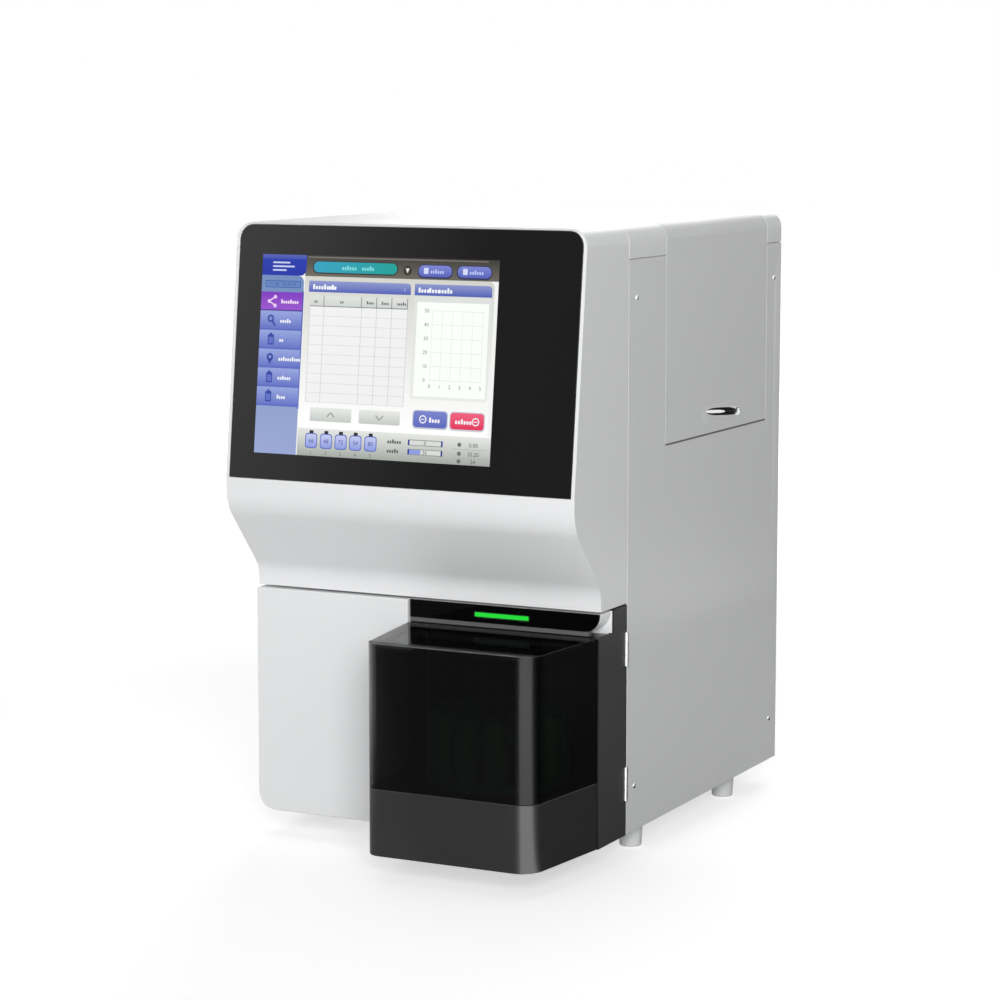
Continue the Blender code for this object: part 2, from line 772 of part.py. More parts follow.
def make_front_housing():
    """Moulded shell with the S-shaped front, a seat for the glass and a window for the display."""
    solid = prism(housing_profile(0), -half, half, "X")
    ends = (seam - DOOR_REACH, rear)
    combine(solid, prism(cover_outline(0), *ends, "Y"), "INTERSECT")
    hollow = prism(housing_profile(HOUSING_WALL), HOUSING_WALL - half, half - HOUSING_WALL, "X")
    combine(hollow, prism(cover_outline(HOUSING_WALL), *ends, "Y"), "INTERSECT")
    cut(solid, hollow)
    mouth_x = (HOUSING_WALL - half, half - HOUSING_WALL)
    mouth_y = (seam - SEAM - OVERRUN, seam + OVERRUN)
    mouth = box(mouth_x, mouth_y, (chin + HOUSING_WALL, top - EDGE_RADIUS))
    upper_x = (EDGE_RADIUS - half, half - EDGE_RADIUS)
    cut(solid, mouth, box(upper_x, mouth_y, (top - 2 * EDGE_RADIUS, top - HOUSING_WALL)))
    seat = rounded(
        (-glass_half - FIT, glass_half + FIT),
        (-FIT, glass_length + FIT),
        (0, 0, GLASS_RADIUS + FIT, GLASS_RADIUS + FIT),
    )
    cut(solid, on_face(prism(seat, -OVERRUN, GLASS_THICKNESS + FIT, "Y")))
    cut(solid, on_face(display_block(SEAM, -OVERRUN, DISPLAY_THICKNESS)))
    piece("front_housing", solid, "white_abs")


def display_block(grow, near, far):
    """The display's block on the tilted face, grown by a clearance."""
    across = (display_left - grow, display_right + grow)
    return box(across, (near, far), (DISPLAY_LOW - grow, display_top + grow))


def make_touch_screen():
    """Cover glass in its seat, and the display module with its driver board behind it."""
    sheet = rounded((-glass_half, glass_half), (0, glass_length), (0, 0, GLASS_RADIUS, GLASS_RADIUS))
    piece("touch_glass", on_face(prism(sheet, 0, GLASS_THICKNESS, "Y")), "black_gloss")
    front = GLASS_THICKNESS + FIT
    back = front + DISPLAY_THICKNESS
    solid = display_block(0, front, back)
    across = (display_left + DISPLAY_BOARD_INSET, display_right - DISPLAY_BOARD_INSET)
    upright = (DISPLAY_LOW + DISPLAY_BOARD_INSET, display_top - DISPLAY_BOARD_INSET)
    join(solid, box(across, (back - FIT, back + DISPLAY_BOARD), upright))
    piece("display_module", on_face(solid), "grey_plastic")


def make_lower_front_panel():
    """Moulded shell under the left of the chin, with one round lower corner."""
    outer = rounded((-half, panel_right), (floor, panel_top), (PANEL_RADIUS, 0, 0, 0))
    inner = rounded(
        (PANEL_WALL - half, panel_right - PANEL_WALL),
        (floor + PANEL_WALL, panel_top - PANEL_WALL),
        (PANEL_RADIUS - PANEL_WALL, 0, 0, 0),
    )
    solid = prism(outer, panel_front, seam - SEAM, "Y")
    cut(solid, prism(inner, panel_front + PANEL_WALL, seam + OVERRUN, "Y"))
    piece("lower_front_panel", solid, "white_abs")


def pod_outline():
    """The status light's pod from the front: square, but for its round lower right corner."""
    low = panel_top - POD_HEIGHT
    across = (panel_right + FIT, half - POD_SIDE_INSET)
    return rounded(across, (low, panel_top), (0, POD_RADIUS, 0, 0))


def make_fascia_and_light():
    """Fascia over the sampler with its light pod, the black face of the pod, and the green bar."""
    across = (panel_right + FIT, half - FASCIA_SIDE_INSET)
    back = seam - FASCIA_REACH + FASCIA_SHEET
    solid = box(across, (seam - FASCIA_REACH, back), (panel_top - FASCIA_HEIGHT, panel_top))
    join(solid, prism(pod_outline(), seam - POD_REACH, back - FASCIA_SHEET / 2, "Y"))
    corner_x = (half - DOOR_FRAME_WALL - SEAM, half + OVERRUN)
    cut(solid, box(corner_x, (seam - FASCIA_REACH - OVERRUN, back + OVERRUN), (floor, door_top + SEAM)))
    spot = (half - LIGHT_SIDE, panel_top - LIGHT_DROP)
    front = seam - POD_REACH - FIT - LIGHT_FACE
    pocket = stadium(spot, LIGHT_LENGTH + 2 * FIT, LIGHT_WIDTH + 2 * FIT)
    cut(solid, prism(pocket, front, front + LIGHT_DEPTH + FIT, "Y"))
    piece("sampler_fascia", solid, "white_abs")
    face = prism(pod_outline(), front, front + LIGHT_FACE, "Y")
    cut(face, prism(pocket, front - OVERRUN, front + LIGHT_DEPTH, "Y"))
    piece("light_cover", face, "black_gloss")
    bar = prism(stadium(spot, LIGHT_LENGTH, LIGHT_WIDTH), front, front + LIGHT_DEPTH, "Y")
    piece("light_bar", bar, "green_light")


def make_door(pivot):
    """Swinging sampler door: black frame, smoked cover with its top plate, and base skirt."""
    back = panel_front - FIT
    parting = floor + DOOR_BASE_HEIGHT
    beyond = panel_front + OVERRUN
    rail_back = panel_front + DOOR_RAIL_DEPTH
    plate_back = seam - FASCIA_REACH - DOOR_EDGE_GAP

    cover = prism(door_outline(0, back), parting, door_top, "Z")
    cut(cover, prism(door_outline(DOOR_WALL, beyond), parting - OVERRUN, door_top - DOOR_WALL, "Z"))
    plate_x = (panel_right + SEAM, half - DOOR_FRAME_WALL - FIT)
    join(cover, box(plate_x, (back - DOOR_WALL, plate_back), (door_top - DOOR_WALL, door_top)))
    piece("smoked_cover", cover, "smoked_acrylic", pivot)

    skirt = prism(door_outline(0, back), floor, parting - FIT, "Z")
    cut(skirt, prism(door_outline(DOOR_WALL, beyond), floor - OVERRUN, parting + OVERRUN, "Z"))
    piece("door_base", skirt, "black_matte", pivot)

    outer = (half - DOOR_FRAME_WALL, half)
    frame = box(outer, (panel_front, seam - SEAM), (floor, door_top))
    upper_front = seam - FASCIA_REACH + FASCIA_SHEET + SEAM
    join(frame, box(outer, (upper_front, seam - SEAM), (floor, door_top + DOOR_FRAME_RISE)))
    left = (panel_right + SEAM, panel_right + SEAM + DOOR_FRAME_WALL)
    under_plate = door_top - DOOR_WALL - FIT
    join(frame, box(left, (panel_front, plate_back), (floor, under_plate)))
    across = (panel_right + SEAM, half - DOOR_FRAME_WALL / 2)
    join(
        frame,
        box(across, (panel_front, rail_back), (floor, floor + DOOR_RAIL_HEIGHT)),
        box(across, (panel_front, rail_back), (under_plate - DOOR_RAIL_HEIGHT, under_plate)),
    )
    for centre in (floor + HINGE_LOW, floor + HINGE_HIGH):
        notch_z = (centre - HINGE_LENGTH / 2 - FIT, centre + HINGE_LENGTH / 2 + FIT)
        notch_y = (hinge_y - HINGE_RADIUS - FIT, seam + OVERRUN)
        cut(frame, box((outer[0] - OVERRUN, outer[1] + OVERRUN), notch_y, notch_z))
    piece("door_frame", frame, "black_matte", pivot)


def make_hinge(word, centre, pivot):
    """One butt hinge: end knuckles, pin and leaf on the cabinet, middle knuckle and leaf on the door."""
    low = centre - HINGE_LENGTH / 2
    high = centre + HINGE_LENGTH / 2
    third = HINGE_LENGTH / 3
    axis = (hinge_x, hinge_y)
    leaf_x = (inner_half - HINGE_LEAF, inner_half)
    leaf_back = seam - FIT
    fixed = rod(axis, HINGE_PIN_RADIUS, low + FIT, high - FIT, "Z", SIDES_SMALL)
    for z in ((low, low + third - FIT), (high - third + FIT, high)):
        join(
            fixed,
            rod(axis, HINGE_RADIUS, *z, "Z"),
            box((leaf_x[0], hinge_x), (leaf_back - HINGE_LEAF, leaf_back), z),
        )
    join(fixed, box(leaf_x, (leaf_back - HINGE_LEAF, leaf_back + HINGE_LEAF_WIDTH), (low, high)))
    piece("cabinet_hinge_" + word, fixed, "stainless")

    middle = (low + third, high - third)
    inner = half - DOOR_FRAME_WALL - FIT
    door_leaf_x = (inner - HINGE_LEAF, inner)
    moving = rod(axis, HINGE_RADIUS, *middle, "Z")
    join(
        moving,
        box((door_leaf_x[0], hinge_x), (hinge_y - HINGE_LEAF, hinge_y), middle),
        box(door_leaf_x, (hinge_y - HINGE_LEAF_WIDTH, hinge_y), (low, high)),
    )
    cut(moving, rod(axis, HINGE_PIN_RADIUS + FIT, low, high, "Z", SIDES_SMALL))
    piece("door_hinge_" + word, moving, "stainless", pivot)


def make_sampler_bay():
    """Liner of the bay, with the round platform that reaches out into the door."""
    low = bay_floor - BAY_WALL
    high = floor + BAY_HEIGHT
    outer_x = (panel_right + BAY_LEFT_GAP, half - BAY_SIDE_GAP)
    solid = box(outer_x, (seam - BAY_FRONT, seam + BAY_REAR), (low, high))
    inner_x = (outer_x[0] + BAY_WALL, outer_x[1] - BAY_WALL)
    inner_y = (seam - BAY_FRONT - OVERRUN, seam + BAY_REAR - BAY_WALL)
    cut(solid, box(inner_x, inner_y, (bay_floor, high - BAY_WALL)))
    underside = floor + PLATFORM_UNDERSIDE
    neck_x = (carousel.x - PLATFORM_RADIUS, carousel.x + PLATFORM_RADIUS)
    join(
        solid,
        box(neck_x, (carousel.y, seam - BAY_FRONT + OVERRUN), (underside, platform_top)),
        rod(carousel, PLATFORM_RADIUS, underside, platform_top, "Z", SIDES_LARGE),
    )
    pocket = MOTOR_WIDTH / 2 + MOTOR_POCKET_GAP
    pocket_top = underside + MOTOR_HEIGHT + FIT
    pocket_x = (carousel.x - pocket, carousel.x + pocket)
    pocket_y = (carousel.y - pocket, carousel.y + pocket)
    cut(
        solid,
        box(pocket_x, pocket_y, (underside - OVERRUN, pocket_top)),
        rod(carousel, MOTOR_SHAFT_RADIUS + SEAM, pocket_top - OVERRUN, platform_top + OVERRUN, "Z"),
    )
    piece("sampler_bay", solid, "grey_plastic")

    side = MOTOR_WIDTH / 2
    square = rounded(
        (carousel.x - side, carousel.x + side), (carousel.y - side, carousel.y + side), (MOTOR_CORNER,) * 4
    )
    motor = prism(square, underside, underside + MOTOR_HEIGHT, "Z")
    shaft_top = platform_top + MOTOR_SHAFT_RISE
    join(motor, rod(carousel, MOTOR_SHAFT_RADIUS, underside, shaft_top, "Z", SIDES_SMALL))
    piece("carousel_motor", motor, "black_matte")


def make_carousel(pivot):
    """Carousel plate with its spindle and lifting knob, and the green ring of tube holders."""
    plate_low = platform_top + CAROUSEL_GAP
    knob_top = floor + KNOB_TOP
    plate = rod(carousel, CAROUSEL_RADIUS, plate_low, plate_low + CAROUSEL_PLATE, "Z", SIDES_LARGE)
    join(
        plate,
        rod(carousel, SPINDLE_RADIUS, plate_low, knob_top, "Z"),
        rod(carousel, KNOB_RADIUS, knob_top - KNOB_HEIGHT, knob_top, "Z"),
    )
    bore_top = platform_top + MOTOR_SHAFT_RISE + SEAM
    cut(plate, rod(carousel, MOTOR_SHAFT_RADIUS + FIT, platform_top, bore_top, "Z", SIDES_SMALL))
    piece("carousel_plate", plate, "black_matte", pivot)

    high = holder_low + HOLDER_HEIGHT
    outer = HOLDER_CIRCLE + HOLDER_RADIUS
    inner = outer - HOLDER_RING_WIDTH
    ring = rod(carousel, outer, holder_low, holder_low + HOLDER_FLOOR, "Z", SIDES_LARGE)
    band_top = high - HOLDER_BAND_DROP
    join(ring, rod(carousel, HOLDER_CIRCLE, band_top - HOLDER_BAND, band_top, "Z", SIDES_LARGE))
    spots = []
    for i in range(HOLDER_COUNT):
        turn = Matrix.Rotation(2 * math.pi * i / HOLDER_COUNT, 2)
        spots.append(carousel - turn @ arm_heading * HOLDER_CIRCLE)
    for spot in spots:
        join(ring, rod(spot, HOLDER_RADIUS, holder_low, high, "Z", SIDES))
    cut(ring, rod(carousel, inner, holder_low - OVERRUN, high + OVERRUN, "Z", SIDES_LARGE))
    for spot in spots:
        cut(ring, rod(spot, HOLDER_BORE, holder_low + HOLDER_FLOOR, high + OVERRUN, "Z"))
    piece("tube_holders", ring, "green_plastic", pivot)


def make_sampler_arm(lift_pivot, swing_pivot):
    """Fixed column, lifting shaft, swinging arm with its needle, and the wash station."""
    foot = bay_floor + FIT
    column = rod(post, COLUMN_RADIUS, foot, floor + COLUMN_HEIGHT, "Z")
    join(column, rod(post, COLUMN_FLANGE_RADIUS, foot, foot + COLUMN_FLANGE, "Z"))
    bore = (foot + COLUMN_FLANGE, floor + COLUMN_HEIGHT + OVERRUN)
    cut(column, rod(post, SHAFT_RADIUS + FIT, *bore, "Z"))
    piece("arm_column", column, "aluminium")

    shaft_top = arm_low - FIT
    shaft = rod(post, SHAFT_RADIUS, shaft_top - SHAFT_LENGTH, shaft_top, "Z")
    piece("arm_shaft", shaft, "stainless", lift_pivot)

    heading = math.atan2(arm_heading.y, arm_heading.x)
    outline = arc(post, ARM_HUB_RADIUS, heading + math.pi / 2, heading + 3 * math.pi / 2)
    outline += arc(needle, ARM_TIP_RADIUS, heading - math.pi / 2, heading + math.pi / 2)
    arm = prism(outline, arm_low, arm_low + ARM_THICKNESS, "Z")
    hole = (arm_low - OVERRUN, arm_low + ARM_THICKNESS + OVERRUN)
    cut(arm, rod(needle, NEEDLE_RADIUS + FIT, *hole, "Z", SIDES_SMALL))
    piece("sampler_arm", arm, "grey_plastic", swing_pivot)

    tip = arm_low - NEEDLE_REACH
    collar = arm_low + ARM_THICKNESS + FIT
    tube = turned(
        needle,
        (NEEDLE_RADIUS / 4, NEEDLE_RADIUS, NEEDLE_RADIUS),
        (tip, tip + NEEDLE_POINT, collar + NEEDLE_COLLAR),
        sides=SIDES_SMALL,
    )
    join(tube, rod(needle, NEEDLE_COLLAR_RADIUS, collar, collar + NEEDLE_COLLAR - FIT, "Z", SIDES_SMALL))
    piece("sample_needle", tube, "stainless", swing_pivot)

    station = rod(wash, WASH_RADIUS, foot, floor + WASH_HEIGHT, "Z")
    well = (floor + WASH_HEIGHT - WASH_DEPTH, floor + WASH_HEIGHT + OVERRUN)
    cut(station, rod(wash, WASH_BORE, *well, "Z"))
    piece("wash_station", station, "grey_plastic")


def make_side_flap(pivot):
    """Lifting flap that wraps over the top edge, its finger pull, and the hinge rod in the top."""
    along = (flap_front + FIT, flap_rear - FIT)
    flap_x = flap_axis_x + FLAP_HINGE_RADIUS + FLAP_HINGE_GAP
    flap = prism(cover_outline(0), *along, "Y")
    outer_y = (along[0] - OVERRUN, along[1] + OVERRUN)
    cut(
        flap,
        prism(cover_outline(SHEET), *outer_y, "Y"),
        box((-half - OVERRUN, flap_x), outer_y, (0, top + OVERRUN)),
        box((-half - OVERRUN, half + OVERRUN), outer_y, (0, flap_low + FIT)),
    )
    spot = (flap_rear - PULL_REAR_GAP, flap_low + PULL_RISE)
    hole = stadium(spot, PULL_LENGTH - 2 * PULL_WALL + 2 * FIT, PULL_HEIGHT - 2 * PULL_WALL + 2 * FIT)
    cut(flap, prism(hole, half - SHEET - OVERRUN, half + OVERRUN, "X"))

    axis = (flap_axis_x, flap_axis_z)
    length = (along[1] - along[0]) / FLAP_KNUCKLES
    leaf_z = (top - SHEET - FIT - FLAP_LEAF, top - SHEET - FIT)
    clear = FLAP_HINGE_RADIUS + FLAP_HINGE_GAP
    fixed = rod(axis, FLAP_PIN_RADIUS, along[0] + FIT, along[1] - FIT, "Y", SIDES_SMALL)
    for i in range(FLAP_KNUCKLES):
        span = (along[0] + i * length + FIT, along[0] + (i + 1) * length - FIT)
        knuckle = rod(axis, FLAP_HINGE_RADIUS, *span, "Y", SIDES_SMALL)
        if i % 2:
            bridge_x = (flap_axis_x + FLAP_HINGE_RADIUS / 2, flap_x + clear)
            bridge = box(bridge_x, span, (leaf_z[0], top - SHEET + FIT))
            bore = rod(axis, FLAP_PIN_RADIUS + FIT, span[0] - FIT, span[1] + FIT, "Y", SIDES_SMALL)
            join(knuckle, bridge)
            cut(knuckle, bore)
            join(flap, knuckle)
        else:
            join(fixed, knuckle, box((flap_axis_x - FLAP_LEAF_WIDTH, flap_axis_x), span, leaf_z))
    join(fixed, box((flap_axis_x - FLAP_LEAF_WIDTH, flap_axis_x - clear), along, leaf_z))
    piece("side_flap", flap, "grey_paint", pivot)
    piece("flap_hinge_rod", fixed, "stainless")

    rim = (half + FIT, half + FIT + PULL_RIM)
    pull = prism(stadium(spot, PULL_LENGTH, PULL_HEIGHT), *rim, "X")
    cup = stadium(spot, PULL_LENGTH - 2 * PULL_WALL, PULL_HEIGHT - 2 * PULL_WALL)
    join(pull, prism(cup, half - PULL_DEPTH, rim[1], "X"))
    finger = stadium(spot, PULL_LENGTH - 4 * PULL_WALL, PULL_HEIGHT - 4 * PULL_WALL)
    cut(pull, prism(finger, half - PULL_DEPTH + PULL_WALL, rim[1] + OVERRUN, "X"))
    piece("flap_pull", pull, "stainless", pivot)


def make_fan(pivot):
    """Cooling fan behind the rear grille: square frame with four spokes, and a bladed rotor."""
    centre = (fan_x, fan_z)
    back = rear - SHEET - FIT
    front = back - FAN_DEPTH
    side = FAN_SIZE / 2
    square = rounded(
        (centre[0] - side, centre[0] + side), (centre[1] - side, centre[1] + side), (FAN_CORNER,) * 4
    )
    frame = prism(square, front, back, "Y")
    cut(frame, rod(centre, FAN_BORE, front - OVERRUN, back + OVERRUN, "Y", SIDES_LARGE))
    spokes = (front, front + FAN_SPOKE)
    long = (centre[0] - FAN_BORE - FIT, centre[0] + FAN_BORE + FIT)
    tall = (centre[1] - FAN_BORE - FIT, centre[1] + FAN_BORE + FIT)
    join(
        frame,
        rod(centre, FAN_HUB, *spokes, "Y"),
        box(long, spokes, (centre[1] - FAN_SPOKE / 2, centre[1] + FAN_SPOKE / 2)),
        box((centre[0] - FAN_SPOKE / 2, centre[0] + FAN_SPOKE / 2), spokes, tall),
        rod(centre, FAN_PIN, front, back - FAN_SPOKE, "Y", SIDES_SMALL),
    )
    piece("fan_frame", frame, "black_matte")

    rotor_y = (front + FAN_SPOKE + FIT, back - FAN_SPOKE / 2)
    rotor = rod(centre, FAN_HUB, *rotor_y, "Y")
    reach = FAN_BORE - FAN_BLADE_GAP
    lean = math.atan2(rotor_y[1] - rotor_y[0], FAN_HUB)
    for i in range(FAN_BLADES):
        blade = box(
            (0, reach),
            (-FAN_BLADE_THICKNESS / 2, FAN_BLADE_THICKNESS / 2),
            (FAN_SPOKE / 2 - FAN_DEPTH / 2, FAN_DEPTH / 2 - FAN_SPOKE),
        )
        pitch = Matrix.Rotation(lean / 2, 4, "X")
        turn = Matrix.Rotation(2 * math.pi * i / FAN_BLADES, 4, "Y")
        upright = Matrix.Rotation(math.pi / 2, 4, "X")
        middle = Matrix.Translation((centre[0], (rotor_y[0] + rotor_y[1]) / 2, centre[1]))
        join(rotor, moved(blade, middle @ turn @ pitch @ upright))
    limits = box(
        (centre[0] - FAN_SIZE, centre[0] + FAN_SIZE), rotor_y, (centre[1] - FAN_SIZE, centre[1] + FAN_SIZE)
    )
    combine(rotor, limits, "INTERSECT")
    cut(rotor, rod(centre, FAN_PIN + FIT, rotor_y[0] - OVERRUN, back - FAN_SPOKE + FIT, "Y", SIDES_SMALL))
    piece("fan_rotor", rotor, "black_matte", pivot)


def flanged(x, z, flange, body, thickness, depth):
    """A fitting in the rear panel: a flange outside and a body that goes in."""
    outside = (rear + FIT, rear + FIT + thickness)
    wide = (x - flange[0] / 2, x + flange[0] / 2)
    tall = (z - flange[1] / 2, z + flange[1] / 2)
    solid = box(wide, outside, tall)
    wide = (x - body[0] / 2, x + body[0] / 2)
    tall = (z - body[1] / 2, z + body[1] / 2)
    return join(solid, box(wide, (rear - depth, rear + 2 * FIT), tall))


def make_rear_fittings(rocker_pivot):
    """Power inlet, rocker switch, data ports and fluid ports."""
    z = floor + INLET_HEIGHT
    face = rear + FIT + INLET_FLANGE
    body = (INLET_BODY_WIDTH, INLET_BODY_TALL)
    inlet = flanged(inlet_x, z, (INLET_WIDTH, INLET_TALL), body, INLET_FLANGE, INLET_DEPTH)
    low = z - INLET_RECESS_TALL / 2
    high = z + INLET_RECESS_TALL / 2
    left = inlet_x - INLET_RECESS_WIDTH / 2
    right = inlet_x + INLET_RECESS_WIDTH / 2
    recess = [
        (left, low),
        (right, low),
        (right, high - INLET_BEVEL),
        (right - INLET_BEVEL, high),
        (left + INLET_BEVEL, high),
        (left, high - INLET_BEVEL),
    ]
    cut(inlet, prism(recess, face - INLET_RECESS_DEPTH, face + OVERRUN, "Y"))
    pin_y = (face - INLET_RECESS_DEPTH - FIT, face - INLET_RECESS_DEPTH + INLET_PIN_LENGTH)
    for step, rise in ((-1, -1), (0, 1), (1, -1)):
        x = inlet_x + step * INLET_PIN_PITCH
        middle = z + rise * INLET_PIN_TALL / 2
        wide = (x - INLET_PIN_WIDTH / 2, x + INLET_PIN_WIDTH / 2)
        join(inlet, box(wide, pin_y, (middle - INLET_PIN_TALL / 2, middle + INLET_PIN_TALL / 2)))
    piece("power_inlet", inlet, "black_matte")

    body = (SWITCH_BODY_WIDTH, SWITCH_BODY_TALL)
    frame = flanged(switch_x, z, (SWITCH_WIDTH, SWITCH_TALL), body, SWITCH_FLANGE, SWITCH_DEPTH)
    well = SWITCH_BODY_WIDTH / 2 - SWITCH_WALL
    wide = (switch_x - well, switch_x + well)
    tall = (z - SWITCH_BODY_TALL / 2 + SWITCH_WALL, z + SWITCH_BODY_TALL / 2 - SWITCH_WALL)
    cut(frame, box(wide, (rear - SWITCH_DEPTH + SWITCH_WALL, rear + SWITCH_FLANGE + OVERRUN), tall))
    piece("switch_frame", frame, "black_matte")

    axis_y = rear - SWITCH_AXIS_DEPTH
    reach = ROCKER_RADIUS
    rise = reach * math.tan(ROCKER_TIP)
    crown = SWITCH_AXIS_DEPTH + SWITCH_FLANGE
    profile = [
        (-crown, -reach / 2),
        (-crown, reach / 2),
        (crown - rise, reach),
        (crown, 0),
        (crown - rise, -reach),
    ]
    width = (wide[0] + ROCKER_GAP, wide[1] - ROCKER_GAP)
    rocker = prism(profile, *width, "X")
    place = Matrix.Translation((0, axis_y, z)) @ Matrix.Rotation(-ROCKER_TIP, 4, "X")
    piece("switch_rocker", moved(rocker, place), "black_gloss", rocker_pivot)

    z = floor + PORTS_HEIGHT
    body = (PORTS_WIDTH - PORT_PITCH / 2, PORTS_TALL - PORT_TALL)
    ports = flanged(ports_x, z, (PORTS_WIDTH, PORTS_TALL), body, PORTS_FLANGE, PORTS_DEPTH)
    for side in (-1, 1):
        x = ports_x + side * PORT_PITCH / 2
        wide = (x - PORT_WIDTH / 2, x + PORT_WIDTH / 2)
        deep = (rear - PORT_DEPTH, rear + OVERRUN)
        cut(ports, box(wide, deep, (z - PORT_TALL / 2, z + PORT_TALL / 2)))
    piece("data_ports", ports, "zinc_steel")

    z = floor + FLUID_HEIGHT
    wide = (fluid_x - FLUID_WIDTH / 2, fluid_x + FLUID_WIDTH / 2)
    plate_y = (rear + FIT, rear + FIT + FLUID_PLATE)
    fluid = box(wide, plate_y, (z - FLUID_TALL / 2, z + FLUID_TALL / 2))
    for i in range(FLUID_COUNT):
        x = fluid_x + (i - (FLUID_COUNT - 1) / 2) * FLUID_PITCH
        join(
            fluid,
            rod((x, z), FLUID_RADIUS, rear + 2 * FIT, rear + REAR_REACH, "Y", SIDES_SMALL),
            rod((x, z), FLUID_BARB, plate_y[1] - FIT, plate_y[1] + FLUID_PLATE, "Y", SIDES_SMALL),
        )
        bore = (plate_y[1], rear + REAR_REACH + OVERRUN)
        cut(fluid, rod((x, z), FLUID_BORE, *bore, "Y", SIDES_SMALL))
    piece("fluid_ports", fluid, "stainless")


def make_inner_deck():
    """Shelf across the posts with the upright divider of the column compartment."""
    across = half - POST_SETBACK - POST_THICKNESS - FIT
    shelf_y = (seam + DECK_FRONT, rear - DECK_REAR_GAP)
    solid = box((-across, across), shelf_y, (deck_low, deck_top))
    wall_x = (divider_x - DECK_SHEET, divider_x)
    wall_y = (seam + DIVIDER_FRONT, divider_rear)
    join(solid, box(wall_x, wall_y, (deck_low, top - DIVIDER_TOP_DROP)))
    piece("inner_deck", solid, "zinc_steel")


def make_column_group():
    """Column oven with the column in its cradle, injection valve and detector."""
    near = divider_x + FIT
    far = near + OVEN_DEPTH
    low = top - OVEN_DROP
    along = (seam + OVEN_FRONT, divider_rear - OVEN_REAR_GAP)
    oven = beveled(box((near, far), along, (low, low + OVEN_TALL)), OVEN_BEVEL)
    spot = (far, low + OVEN_TALL / 2)
    cut(oven, rod(spot, COLUMN_NUT_RADIUS + FIT, along[0] - OVERRUN, along[1] + OVERRUN, "Y"))
    piece("column_oven", oven, "aluminium")

    ends = (along[0] + COLUMN_END_GAP, along[1] - COLUMN_END_GAP)
    tube = rod(spot, COLUMN_TUBE_RADIUS, *ends, "Y")
    for nut in ((ends[0], ends[0] + COLUMN_NUT), (ends[1] - COLUMN_NUT, ends[1])):
        join(tube, rod(spot, COLUMN_NUT_RADIUS, *nut, "Y"))
    piece("separation_column", tube, "stainless")

    spot = (seam + VALVE_FRONT, top - VALVE_DROP)
    valve = rod(spot, VALVE_RADIUS, near, near + VALVE_DEPTH, "X")
    join(valve, rod(spot, VALVE_NOSE_RADIUS, near, near + VALVE_DEPTH + VALVE_NOSE, "X"))
    piece("injection_valve", valve, "stainless")

    low = deck_top + FIT
    across = (divider_x + DETECTOR_SIDE_GAP, divider_x + DETECTOR_SIDE_GAP + DETECTOR_WIDTH)
    along = (syringe.y + SYRINGE_BLOCK + DETECTOR_FRONT_GAP, divider_rear - DETECTOR_REAR_GAP)
    detector = beveled(box(across, along, (low, low + DETECTOR_TALL)), DETECTOR_BEVEL)
    piece("detector_unit", detector, "aluminium")


def make_syringe(pivot):
    """Syringe pump on the divider: barrel in its block, and the plunger that slides in it."""
    low = syringe_low
    high = low + SYRINGE_LENGTH
    barrel = rod(syringe, SYRINGE_RADIUS, low, high, "Z")
    block_x = (divider_x + FIT, syringe.x + SYRINGE_BLOCK)
    block_y = (syringe.y - SYRINGE_BLOCK, syringe.y + SYRINGE_BLOCK)
    join(barrel, box(block_x, block_y, (high - SYRINGE_BLOCK, high + SYRINGE_BLOCK)))
    cut(
        barrel,
        rod(syringe, SYRINGE_BORE, low - OVERRUN, high, "Z"),
        rod(syringe, SYRINGE_PORT_RADIUS, high - FIT, high + SYRINGE_BLOCK + OVERRUN, "Z", SIDES_SMALL),
    )
    piece("syringe_barrel", barrel, "glass")

    head_top = high - PLUNGER_HEAD_DROP
    tail = low - PLUNGER_TAIL
    plunger = rod(syringe, SYRINGE_BORE - FIT, head_top - PLUNGER_HEAD, head_top, "Z")
    join(
        plunger,
        rod(syringe, PLUNGER_RADIUS, tail, head_top, "Z", SIDES_SMALL),
        rod(syringe, PLUNGER_CAP_RADIUS, tail - PLUNGER_CAP, tail + FIT, "Z"),
    )
    piece("syringe_plunger", plunger, "stainless", pivot)


def make_tray_units():
    """Power supply and eluent pump, which stand on the tray."""
    low = tray_top + FIT
    along = (rear - SUPPLY_REAR_GAP - SUPPLY_LENGTH, rear - SUPPLY_REAR_GAP)
    left = SUPPLY_SIDE - half
    right = left + SUPPLY_WIDTH
    supply = beveled(box((left, right), along, (low, low + SUPPLY_TALL)), SUPPLY_BEVEL)
    piece("power_supply", supply, "aluminium")

    along = (rear - PUMP_REAR_GAP - PUMP_LENGTH, rear - PUMP_REAR_GAP)
    left = right + PUMP_SIDE_GAP
    pump = beveled(box((left, left + PUMP_WIDTH), along, (low, low + PUMP_TALL)), PUMP_BEVEL)
    middle = left + PUMP_WIDTH / 2
    for side in (-1, 1):
        spot = (middle + side * PUMP_HEAD_PITCH / 2, low + PUMP_HEAD_HEIGHT)
        join(pump, rod(spot, PUMP_HEAD_RADIUS, along[0] - PUMP_HEAD_LENGTH, along[0] + PUMP_BEVEL, "Y"))
    piece("eluent_pump", pump, "aluminium")


def make_feet():
    """Four round feet, slightly narrower at the floor."""
    depths = (("front", seam + FOOT_FRONT), ("rear", rear - FOOT_REAR))
    for x, word in ((-foot_x, "left"), (foot_x, "right")):
        for place, y in depths:
            foot = turned(
                (x, y),
                (FOOT_RADIUS - FOOT_TAPER - FOOT_ROUND, FOOT_RADIUS - FOOT_TAPER, FOOT_RADIUS),
                (0, FOOT_ROUND, floor - FIT),
            )
            piece(f"foot_{place}_{word}", foot, "grey_rubber")


